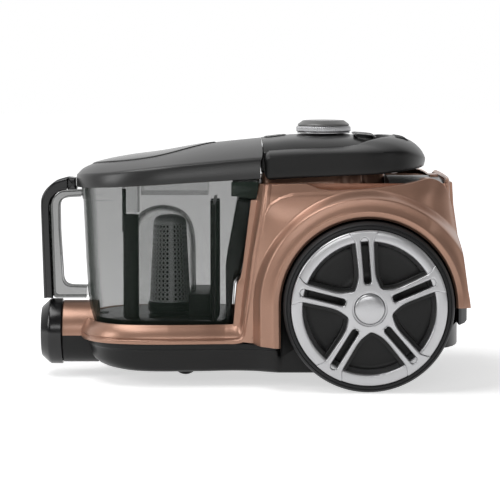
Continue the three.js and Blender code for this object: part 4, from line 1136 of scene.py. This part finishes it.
class VACUUM_OT_separator(bpy.types.Operator):
    """Make the parts inside the bin: bell, perforated filter, base, tube and dividing wall"""

    bl_idname = "vacuum.separator"
    bl_label = "Separator"

    def execute(self, context):
        bell().finish("clear_bell", clear_bell, "cyclone_bell")
        # The filter's light grey is painted light, making up for the light the smoky bin holds back from it.
        filter_mesh().finish("filter_cone", light_grey, "mesh_filter")
        core = filleted([[0, 76.6], [18.6, 76.6], [14.6, 158], [0, 160]], 0)
        core = Moulding().round(turned("z", core, FILTER_AT, 64))
        core.finish("filter_core", black_satin, body="bin", slot="black_satin")
        base = filleted([[0, 57.3], [21, 57.3], [21, 66], [22.7, 66.6], [22.7, 75.4], [21.6, 76.2],
                         [0, 76.2]], [0, 1, 0.8, 0.4, 0.6, 0.4, 0])
        Moulding().round(turned("z", base, FILTER_AT, 96)).finish("filter_foot", black_satin, "filter_base")
        copied("inlet_tube", "rising_tube", black_satin, edge=0)
        extension = [[8.8, 168.2], [8.8, 196.5], [7.6, 196.5], [7.6, 168.2], [8.8, 168.2]]
        tube = Moulding().round(turned("z", extension, (-126, 0, 0), 48))
        tube.finish("clear_tube", clear_bell, body="bin", slot="smoky_clear")
        copied("separator_wall", "dividing_wall", black_satin, edge=0.4)
        # The air duct behind the dividing wall follows the lean of the bin's rear.
        duct = [[-27.5, 57.4], [-22.8, 57.4], [-20.4, 102], [-12.9, 113], [1.6, 186], [-16, 186],
                [-27.8, 120]]
        duct = Moulding().tube(slab(duct, -70, 70, 1, 3))
        duct.finish("air_duct", black_gloss, body="bin", slot="black_gloss")
        plate = [level(bin_outline(at, margin), z) for at, margin, z in (
            (58, 6, 57.2), (58, 3.4, 57.4), (63, 3.1, 63.4), (64, 4, 64), (64, 40, 64))]
        Moulding().tube(plate).finish("bin_floor", black_gloss, body="bin", slot="black_gloss")
        step = Moulding().tube(slab([[-66, 63], [-44, 63], [-44, 86], [-66, 86]], -30, 66, 1, 2))
        step.finish("floor_step", black_satin, body="bin", slot="black_satin")
        block = [[-22, 190.5], [-1.3, 187.9], [3.5, 187.9], [5.7, 204.6], [-22, 204.2]]
        for name, side in SIDES.items():
            corner = Moulding().tube(slab(block, 84.4, 93.4, 0.8, 1) * [1, side, 1])
            corner.finish(f"rim_corner_{name}", clear_block, body="bin", slot="smoky_clear")
        return {"FINISHED"}


# ------------------------------------------------------------------ lid
LID_NOSE, LID_REAR, LID_HALF = LID_LOW[0], LID_HIGH[0], LID_HIGH[1]


def lid_band(x):
    """Height of the crease between the lid's side band and its crown."""
    return eased(x, [[-181.3, 206.4], [-170, 209], [-144, 211.8], [-121, 214.8], [-73, 220.4], [7.4, 227.8]])


def lid_crown(x):
    """Height of the lid's top along the middle."""
    return eased(x, [[-181.3, 207.2], [-174.4, 213.7], [-158, 220.2], [-125, 226.8], [-97, 230.4],
                     [-45, 239.2], [7.4, 244.7]])


# Axis of the lid's hinge.
HINGE_X, HINGE_Z = -18, 234.5


def hinge_curve(z, radius):
    """x of a cylinder about the lid's hinge at a height, held level below and above it."""
    up = (z - HINGE_Z).clip(-10.5, 10.5)
    return HINGE_X + np.sqrt(radius ** 2 - up ** 2)


def lid_stations():
    """x and half width of the lid's cross-sections, close together at the nose."""
    plan = oval_nose(LID_NOSE, -73, LID_HALF, 2.25, 64)
    x = np.concatenate([plan[:, 0], np.linspace(-73, LID_REAR, 60)[1:]])
    half = np.concatenate([plan[:, 1], np.full(59, LID_HALF)])
    return x, half


def lid_skin():
    """Lid: cross-sections from one lower edge up the side band, over the crease and the
    crown, and down again. The crown rises from the crease by one minus a power of the share
    of the half width."""
    x, half = lid_stations()
    low, band, top = lid_floor(x), lid_band(x), lid_crown(x)
    narrowed = np.maximum(half - 3.4 * smooth_step(half, 0, 40), 0)
    columns = [(half - np.minimum(2.6, half), low), (half - np.minimum(0.5, half), low),
               (half, low + 0.5)]
    for share in np.linspace(0.1, 0.94, 8):
        columns.append((half + (narrowed - half) * share ** 2, low + (band - low) * share))
    for inset, rise in ((0.2, -0.3), (0.8, 0.35), (1.6, 0.85)):
        columns.append((np.maximum(narrowed - inset, 0), band + rise))
    inner = np.maximum(narrowed - 1.6, 0)
    for share in np.linspace(1, 0, 30)[1:]:
        height = (band + 0.85) + np.maximum(top - band - 0.85, 0) * (1 - share ** 2.1)
        columns.append((inner * share, height))
    grid = np.stack([np.stack([x, -y, z], -1) for y, z in columns])
    grid[..., 0] += (hinge_curve(grid[..., 2], 27.1) - LID_REAR) * smooth_step(grid[..., 0], -4, LID_REAR)
    # The rear wall stops above the hinge pins' height, so that the lid swings clear of the bin.
    back = grid[:, -1:].copy()
    back[:, :, 2] = 226.5
    return Moulding().grid(np.concatenate([grid, back], 1)).mirrored()


def lid_lens():
    """Lens-shaped inset on the lid: the crown's surface, lifted a little inside an outline
    that swells as a power of the sine along it."""
    t = np.linspace(0, 1, 60)
    x = -166 + 128 * t
    half = 46 * np.sin(math.pi * t ** 0.8).clip(0)
    full = np.interp(x, *lid_stations()) - 5
    rows = []
    for share, lift in ((1, -0.6), (1, 0.3), (0.985, 0.75), (0.96, 0.9),
                        *[(share, 0.95) for share in np.linspace(0.9, 0, 10)]):
        y = half * share
        band, top = lid_band(x) + 0.85, lid_crown(x)
        z = band + np.maximum(top - band, 0) * (1 - (y / full).clip(0, 1) ** 2.1) + lift * (half > 1)
        rows.append(np.stack([x, -y, z], -1))
    return Moulding().grid(np.stack(rows)).mirrored()


class VACUUM_OT_lid(bpy.types.Operator):
    """Make the bin's lid with its inset, latch, hinge and liner"""

    bl_idname = "vacuum.lid"
    bl_label = "Lid"

    def execute(self, context):
        lid_skin().finish("lid_top", charcoal, "bin_lid", crease=30)
        lid_lens().finish("lid_lens", black_gloss, "lid_inlay")
        low, high = corners("lid_latch")
        catch = [[low[0], low[2]], [-181, low[2]], [-181, 194.6], [-182.2, 195.2], [-182.2, high[2] - 1],
                 [low[0], high[2]]]
        Moulding().tube(slab(catch, low[1], high[1], 1.2, 0.6)).finish("lid_catch", black_gloss, "lid_latch")
        copied("lid_hinge_block", "lid_hinge", black_satin, edge=0.3)
        copied("lid_liner", "lid_underside", clear_liner, edge=0.5)
        return {"FINISHED"}


# ------------------------------------------------------------------ control panel
def panel_crown(x):
    """Height of the control panel's top along the middle."""
    return eased(x, [[9, 245], [45, 248.4], [100, 249.1], [119, 248], [132, 243.4], [136, 239]])


def panel_edge(x):
    """Height of the crease where the panel's side turns into its top."""
    return eased(x, [[10.6, 231], [45, 234.4], [80, 236], [100, 236.4], [131, 236.6], [136, 234]])


def panel_outline(margin, count=260):
    """Plan of the panel, a margin inside its edge: straight front, rounded rear."""
    front, rear, half = PANEL_LOW[0], PANEL_HIGH[0], PANEL_HIGH[1]
    nose = oval_nose(rear - margin, 70, half - margin, 2.3, 70)
    line = np.concatenate([nose, [[front + 8, half - margin], [front, half - margin], [front, 0]]])
    return both_halves(resampled(line, count // 2 + 1))


def panel_skin():
    """Control panel: nested plans rising from the foot to the crease and over the crown."""
    rings = []
    for margin, share in ((1.4, 0), (0.4, 0.02), (0, 0.08), (0, 0.5), (0, 0.92), (0.3, 1)):
        line = panel_outline(margin)
        rings.append(level(line, PANEL_LOW[2] + (panel_edge(line[:, 0]) - PANEL_LOW[2]) * share))
    for margin in (1.2, 2.6, 4.5, 7, 10, 14, 19, 26, 34, 43, 52, 59.9):
        line = panel_outline(margin)
        rise = min(1, margin / 22)
        share = 0.45 * (1 - (1 - rise) ** 2.2) + 0.55 * (1 - (1 - margin / 60) ** 2.2)
        low = panel_edge(line[:, 0])
        rings.append(level(line, low + (panel_crown(line[:, 0]) - low) * share))
    grid = np.stack([rings[0] * [1, 0, 1], *rings, rings[-1] * [1, 0, 1]])
    share = 1 - smooth_step(grid[..., 0], PANEL_LOW[0], PANEL_LOW[0] + 9)
    grid[..., 0] += (hinge_curve(grid[..., 2], 27.7) - PANEL_LOW[0]) * share
    return Moulding().round(grid)


def button_outline(low, high, grow, count=90):
    """Plan of a tongue-shaped button: square front corners and a round rear."""
    cy, half = (low[1] + high[1]) / 2, (high[1] - low[1]) / 2
    line = filleted([[low[0] - grow, cy - half - grow], [high[0] + grow, cy - half - grow],
                     [high[0] + grow, cy + half + grow], [low[0] - grow, cy + half + grow]],
                    [3, 9, 9, 3], steps=9, closed=True)
    return resampled(line, count, closed=True)


def button_pieces(node, name):
    """A button with a dished top, and the raised edge round it on the panel."""
    def rings(*stations):
        """The button's plan grown and lifted off the panel's crown, once for each station."""
        lines = [(button_outline(*corners(node), grow), lift) for grow, lift in stations]
        return np.stack([level(line, panel_crown(line[:, 0]) + lift) for line, lift in lines])
    button = rings((0, -9), (0, 0.1), (-0.4, 0.55), (-1, 0.7), (-3, 0.45), (-6, 0.2))
    Moulding().tube(button).finish(name, grey_satin, node)
    edge = rings((0.5, -3), (0.5, 0.5), (0.8, 0.85), (1.6, 0.85), (2.6, 0.3), (3, -0.6))
    Moulding().round(edge).finish(f"{name}_surround", black_satin, body="base", slot="black_gloss")


class VACUUM_OT_panel(bpy.types.Operator):
    """Make the control panel and its buttons"""

    bl_idname = "vacuum.panel"
    bl_label = "Control panel"

    def execute(self, context):
        panel_skin().finish("panel_top", charcoal, "control_panel", crease=32)
        for node, name in (("bin_release_button", "release_tongue"), ("power_button", "power_pad"),
                           ("rewind_button", "rewind_pad")):
            button_pieces(node, name)
        return {"FINISHED"}


class VACUUM_OT_knob(bpy.types.Operator):
    """Make the power knob: silver base, knurled silver ring and dished grey cap"""

    bl_idname = "vacuum.knob"
    bl_label = "Power knob"

    def execute(self, context):
        count = context.scene.vacuum_sizes.knurl_count
        at = ((KNOB_LOW[0] + KNOB_HIGH[0]) / 2, 0, 0)
        radius = KNOB_HIGH[1]
        stem, ring, cap = (corners(node) for node in ("knob_body", "knob_grip_ring", "knob_cap"))
        base = filleted([[3, stem[0][2]], [3, 249.5], [27, 249.4], [27, 251], [20, 251]],
                        [0, 0.5, 0.5, 0.4, 0])
        Moulding().round(turned("z", base, at, 128)).finish("knob_foot", silver, "knob_body")
        low, high = ring[0][2], ring[1][2]
        section = filleted([[20, low], [radius - 0.9, low], [radius - 0.5, low + 0.7],
                            [radius - 0.5, high - 1.6], [radius - 1.3, high - 0.2], [20, high]],
                           [0, 0.4, 0.4, 0.5, 0.4, 0])
        knurl = turned("z", section, at, count * 8,
                       lambda a: 1 + 0.013 * np.abs(np.sin(a * count / 2)) ** 0.6)
        Moulding().round(knurl).finish("knob_ring", silver, "knob_grip_ring", crease=60)
        low, high = cap[0][2], cap[1][2]
        top = filleted([[0, low], [26.6, low], [26.6, low + 0.7], [26, low + 1.8], [21.4, high - 0.5],
                        [20.3, high - 0.3], [19.4, high - 0.7], [0, high - 0.9]],
                       [0, 0.3, 0.3, 0.8, 0.5, 0.3, 0.6, 0])
        Moulding().round(turned("z", top, at, 128)).finish("knob_top", grey_satin, "knob_cap")
        return {"FINISHED"}


# ------------------------------------------------------------------ carry handle
def handle_lines(count=260):
    """Inner and outer plan of the carry handle, from the left arm's end round to the right."""
    front, rear, half = HANDLE_LOW[0], HANDLE_HIGH[0], HANDLE_HIGH[1]
    outer = np.concatenate([[[front, half], [40, half]], oval_nose(rear, 95, half, 2.5, 80)[::-1]])
    inner = np.concatenate([[[front, 63.5], [40, 63.5]], oval_nose(139.4, 72, 63.5, 2.3, 80)[::-1]])
    lines = []
    for line in (outer, inner):
        line = resampled(line, count // 2 + 1)
        lines.append(np.concatenate([line * [1, -1], line[-2::-1]]))
    return lines


def handle_loop():
    """Carry handle: a section between the outer and the inner plan, with a flat underside,
    a leaning outer face, a rounded shoulder and a gently rising top, rounded off at the
    front ends."""
    outer, inner = handle_lines()
    xo, xi = outer[:, 0], inner[:, 0]
    low = eased(xo, [[11, 205.9], [16, 206.3], [84, 209.8], [133, 212], [176.5, 216.2]])
    side = eased(xo, [[11, 227], [16, 227.6], [93, 232], [150, 233], [168, 228.5], [176.5, 224.5]])
    top = eased(xi, [[11, 234], [40, 236], [80, 237.5], [100, 240], [116, 244.5], [130, 246.8], [139.4, 247]])
    inner_low = low + 1
    columns = []

    def column(share, inset, height):
        """A line round the handle at a share of the way in from its outer plan."""
        reach = np.linalg.norm(inner - outer, axis=1)
        point = outer + (inner - outer) * (share + inset / reach)[:, None]
        columns.append(np.column_stack([point, height]))
    tuck = smooth_step(xo, 140, 176) * 2.2
    for place in ((0.5, 0, low + 0.6), (0, 2.2 + tuck, low), (0, 0.9 + tuck, low + 0.3),
                  (0, 0.3 + tuck * 0.8, low + 1.2)):
        column(*place)
    for share in (0.12, 0.35, 0.6, 0.8, 0.93):
        column(0, 0.35 * share + tuck * (1 - share) ** 1.5, low + (side - low) * share)
    for share, rise in ((0.015, 0.02), (0.05, 0.16), (0.1, 0.31), (0.17, 0.46), (0.27, 0.62), (0.4, 0.77),
                        (0.55, 0.88), (0.7, 0.95), (0.84, 0.99), (0.94, 1.0)):
        column(share, 0, side + (top - side) * rise)
    for inset, height in ((-0.5, top - 0.6), (-0.1, top - 1.8), (0, top - 4), (0, inner_low + 4),
                          (-0.3, inner_low + 1), (-1.4, inner_low)):
        column(1, inset, height)
    grid = np.stack(columns, 1)
    # The front ends are rounded: the last few sections shrink towards their middle.
    ends = []
    for section, way in ((grid[0], 1), (grid[-1], -1)):
        middle = section.mean(0)
        steps = []
        for out, scale in ((0, 0.62), (0.5, 0.74), (1.6, 0.86), (3.3, 0.95), (5.5, 0.992)):
            ring = middle + (section - middle) * scale
            ring[:, 0] = section[:, 0] + out
            steps.append(ring)
        steps = [np.broadcast_to(steps[0].mean(0), section.shape), *steps]
        ends.append(np.stack(steps if way > 0 else steps[::-1]))
    body = grid[3:-3]
    return Moulding().round(np.concatenate([ends[0], body, ends[1]]))


def handle_pad():
    """Soft pad on the rear of the handle with a row of low ribs across it."""
    middle, half = 150.2, 31.5
    x = np.linspace(middle - 7.2, middle + 7.2, 26)
    y = np.linspace(-half, half, 200)
    gx, gy = np.meshgrid(x, y, indexing="ij")
    share = (176.5 - gx - (gy / 88) ** 2 * 6) / 37
    crown = 227 + 19.9 * eased(share, [[0, 0], [0.17, 0.46], [0.4, 0.77], [0.55, 0.88], [0.7, 0.95],
                                       [0.94, 1], [1, 1]])
    across = np.abs(gx - middle)
    edge = np.minimum(smooth_step(7.2 - across, 0, 1.4), smooth_step(half - np.abs(gy), 0, 1.6))
    ribs = 0.5 * (0.5 + 0.5 * np.cos(gy * 2 * math.pi / 4.5)) ** 0.7 * smooth_step(5.6 - across, 0, 1)
    z = crown - 1.2 + edge * 1.3 + ribs * edge
    return Moulding().grid(np.stack([gx, gy, z], -1))


class VACUUM_OT_handle(bpy.types.Operator):
    """Make the carry handle and the soft pad on it"""

    bl_idname = "vacuum.handle"
    bl_label = "Carry handle"

    def execute(self, context):
        handle_loop().finish("carry_loop", black_satin, "carry_handle", crease=40)
        handle_pad().finish("carry_pad", rubber, "handle_grip")
        return {"FINISHED"}


# ------------------------------------------------------------------ rear end and caster
class VACUUM_OT_rear(bpy.types.Operator):
    """Make the rear deck, exhaust door, bumper, latch and cord outlet"""

    bl_idname = "vacuum.rear"
    bl_label = "Rear end"

    def execute(self, context):
        x = filleted([[136, 193.4], [136, 0], [189.6, 0], [189.6, 193.4]], [0, 1.6, 1.6, 0])
        y = np.concatenate([[-91, -90.7, -90], np.linspace(-89, 89, 60), [90, 90.7, 91]])
        drop = np.concatenate([[-6, -0.9, -0.25], np.zeros(60), [-0.25, -0.9, -6]])
        crown = 205.3 - 7 * (y / 91) ** 2 + drop
        rows = [np.stack([np.full(66, px), y, np.where(pz > 100, 193.4, crown + pz)], -1) for px, pz in x]
        Moulding().grid(np.stack(rows)).finish("rear_deck_top", grey_satin, "rear_deck")
        copied("exhaust_door", "exhaust_grille", copper, edge=0.5)
        copied("exhaust_latch", "door_latch", copper, edge=1)
        copied("rear_bumper", "bumper", rubber, edge=2)
        copied("cord_outlet", "cord_bush", rubber, edge=0.5)
        return {"FINISHED"}


class VACUUM_OT_caster(bpy.types.Operator):
    """Make the front caster"""

    bl_idname = "vacuum.caster"
    bl_label = "Front caster"

    def execute(self, context):
        copied("caster_fork", "caster_yoke", black_satin, edge=0.5)
        low, high = corners("caster_wheel")
        at = ((low[0] + high[0]) / 2, 0, (low[2] + high[2]) / 2)
        r = (high[2] - low[2]) / 2
        tyre = filleted([[2.4, -7], [9, -7], [9.6, -6.2], [11, -6.6], [r, -4.4], [r, 4.4], [11, 6.6],
                         [9.6, 6.2], [9, 7], [2.4, 7], [2.4, -7]],
                        [0, 0.4, 0.4, 0.6, 1.6, 1.6, 0.6, 0.4, 0.4, 0, 0])
        Moulding().round(turned("y", tyre, at, 72)).finish("caster_roller_tyre", rubber, "caster_wheel")
        return {"FINISHED"}


# ------------------------------------------------------------------ stage
def soft_lamp(name, place, target, size, watts):
    """A rectangular lamp pointing at a target."""
    lamp = bpy.data.lights.new(name, "AREA")
    lamp.shape = "RECTANGLE"
    lamp.size, lamp.size_y = size
    lamp.energy = watts
    obj = bpy.data.objects.new(name, lamp)
    bpy.context.scene.collection.objects.link(obj)
    obj.location = place
    obj.rotation_euler = (Vector(target) - Vector(place)).to_track_quat("-Z", "Y").to_euler()
    return obj


def plain_view(tree, backdrop=None):
    """1 for camera and transmission rays, which see the plain white background, and for
    glossy rays: everywhere, or as much as the backdrop's share in their direction."""
    seen, link = add(tree, "LightPath").outputs, tree.links.new
    direct, either = add(tree, "Math", "MAXIMUM"), add(tree, "Math", "MAXIMUM")
    gloss = seen["Is Glossy Ray"]
    if backdrop:
        share = add(tree, "Math", "MULTIPLY")
        link(gloss, share.inputs[0])
        link(backdrop, share.inputs[1])
        gloss = share.outputs[0]
    link(seen["Is Camera Ray"], direct.inputs[0])
    link(gloss, direct.inputs[1])
    link(direct.outputs[0], either.inputs[0])
    link(seen["Is Transmission Ray"], either.inputs[1])
    return either.outputs[0]


def studio_material():
    """Pale floor: a matt surface that keeps the shadow, fading into plain white that the
    camera, glossy and clear surfaces see."""
    material, tree, surface = new_material("studio_floor")
    link = tree.links.new
    surface["Roughness"].default_value = 0.9
    surface["Emission Strength"].default_value = 1
    surface["Base Color"].default_value = (0.82, 0.82, 0.82, 1)
    far = add(tree, "MapRange", From_Min=0.25, From_Max=0.75, To_Min=0.6, To_Max=1)
    away, glow = add(tree, "VectorMath", "LENGTH"), add(tree, "Math", "MULTIPLY")
    link(add(tree, "TexCoord").outputs["Object"], away.inputs[0])
    link(away.outputs["Value"], far.inputs["Value"])
    link(plain_view(tree), glow.inputs[0])
    link(far.outputs["Result"], glow.inputs[1])
    link(glow.outputs[0], surface["Emission Color"])
    return material


def studio_world():
    """Surroundings: a white backdrop behind the machine and a dimmer room in front of it."""
    world = bpy.data.worlds.new("studio")
    world.use_nodes = True
    tree, link = world.node_tree, world.node_tree.links.new
    background = tree.nodes["Background"].inputs
    split = add(tree, "SeparateXYZ")
    behind = add(tree, "MapRange", From_Min=-0.1, From_Max=0.5)
    strength = add(tree, "MapRange", To_Min=0.14, To_Max=1)
    link(add(tree, "TexCoord").outputs["Generated"], split.inputs[0])
    link(split.outputs["Y"], behind.inputs["Value"])
    background["Color"].default_value = (1, 1, 1, 1)
    link(plain_view(tree, behind.outputs["Result"]), strength.inputs["Value"])
    link(strength.outputs["Result"], background["Strength"])
    return world


class VACUUM_OT_stage(bpy.types.Operator):
    """Make the camera, floor, lamps and surroundings"""

    bl_idname = "vacuum.stage"
    bl_label = "Studio"

    def execute(self, context):
        scene = context.scene
        camera = bpy.data.objects.new("camera", bpy.data.cameras.new("camera"))
        scene.collection.objects.link(camera)
        camera.location = (-0.0034, -2.4, 0.340)
        camera.rotation_euler = (math.radians(84.97), 0, 0)
        camera.data.lens = 168.1
        camera.data.sensor_width = 36
        scene.camera = camera
        scene.view_settings.view_transform = "Standard"
        mesh = bpy.data.meshes.new("floor")
        mesh.from_pydata([(x, y, 0) for x in (-9, 9) for y in (-9, 9)], [], [(0, 2, 3, 1)])
        mesh.materials.append(studio_material())
        ground = bpy.data.objects.new("floor", mesh)
        scene.collection.objects.link(ground)
        soft_lamp("overhead", (-0.7, -0.35, 1.8), (0, 0, 0.1), (1.3, 0.7), 14)
        soft_lamp("left", (-1.9, -0.7, 1.0), (0, 0, 0.12), (0.8, 1.0), 12)
        soft_lamp("right", (2.0, -1.6, 0.9), (0, 0, 0.1), (0.8, 1.2), 3)
        soft_lamp("front", (-0.2, -2.6, 1.0), (0, 0, 0.15), (1.5, 0.5), 9)
        scene.world = studio_world()
        return {"FINISHED"}


# ------------------------------------------------------------------ inside parts, panel and running
class VACUUM_OT_inside(bpy.types.Operator):
    """Give every carried-over solid its moulded, rubber, foam or metal finish"""

    bl_idname = "vacuum.inside"
    bl_label = "Inside parts"

    def execute(self, context):
        for node, solid in frame["nodes"].items():
            finish = FINISHES[NODE_SLOTS[node]]()
            if solid.data.materials:
                for place in solid.material_slots:
                    place.material = finish
            else:
                solid.data.materials.append(finish)
        return {"FINISHED"}


class VACUUM_PT_pieces(bpy.types.Panel):
    """Sidebar panel with one button for each piece"""

    bl_idname = "VACUUM_PT_pieces"
    bl_label = "Canister vacuum"
    bl_space_type = "VIEW_3D"
    bl_region_type = "UI"
    bl_category = "Vacuum"

    def draw(self, context):
        """Lists the sizes, the colours and the pieces."""
        layout = self.layout
        for group in (context.scene.vacuum_sizes, context.scene.vacuum_colours):
            for name in group.__annotations__:
                layout.prop(group, name)
        for operator in OPERATORS:
            layout.operator(operator.bl_idname)


OPERATORS = (
    VACUUM_OT_stage,
    VACUUM_OT_body,
    VACUUM_OT_pan,
    VACUUM_OT_inlet,
    VACUUM_OT_bin,
    VACUUM_OT_bin_handle,
    VACUUM_OT_separator,
    VACUUM_OT_lid,
    VACUUM_OT_panel,
    VACUUM_OT_knob,
    VACUUM_OT_handle,
    VACUUM_OT_wheels,
    VACUUM_OT_rear,
    VACUUM_OT_caster,
    VACUUM_OT_inside,
)
CLASSES = (VacuumSizes, VacuumColours, *OPERATORS, VACUUM_PT_pieces)


def register():
    """Registers the classes and hangs the two groups of settings on the scene."""
    for cls in CLASSES:
        bpy.utils.register_class(cls)
    bpy.types.Scene.vacuum_sizes = PointerProperty(type=VacuumSizes)
    bpy.types.Scene.vacuum_colours = PointerProperty(type=VacuumColours)


def unregister():
    """Removes what register made."""
    del bpy.types.Scene.vacuum_colours
    del bpy.types.Scene.vacuum_sizes
    for cls in reversed(CLASSES):
        bpy.utils.unregister_class(cls)


def main():
    """Registers the classes and makes every piece in order."""
    register()
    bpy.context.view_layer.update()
    for operator in OPERATORS:
        group, name = operator.bl_idname.split(".")
        getattr(getattr(bpy.ops, group), name)()


if __name__ == "__main__":
    main()
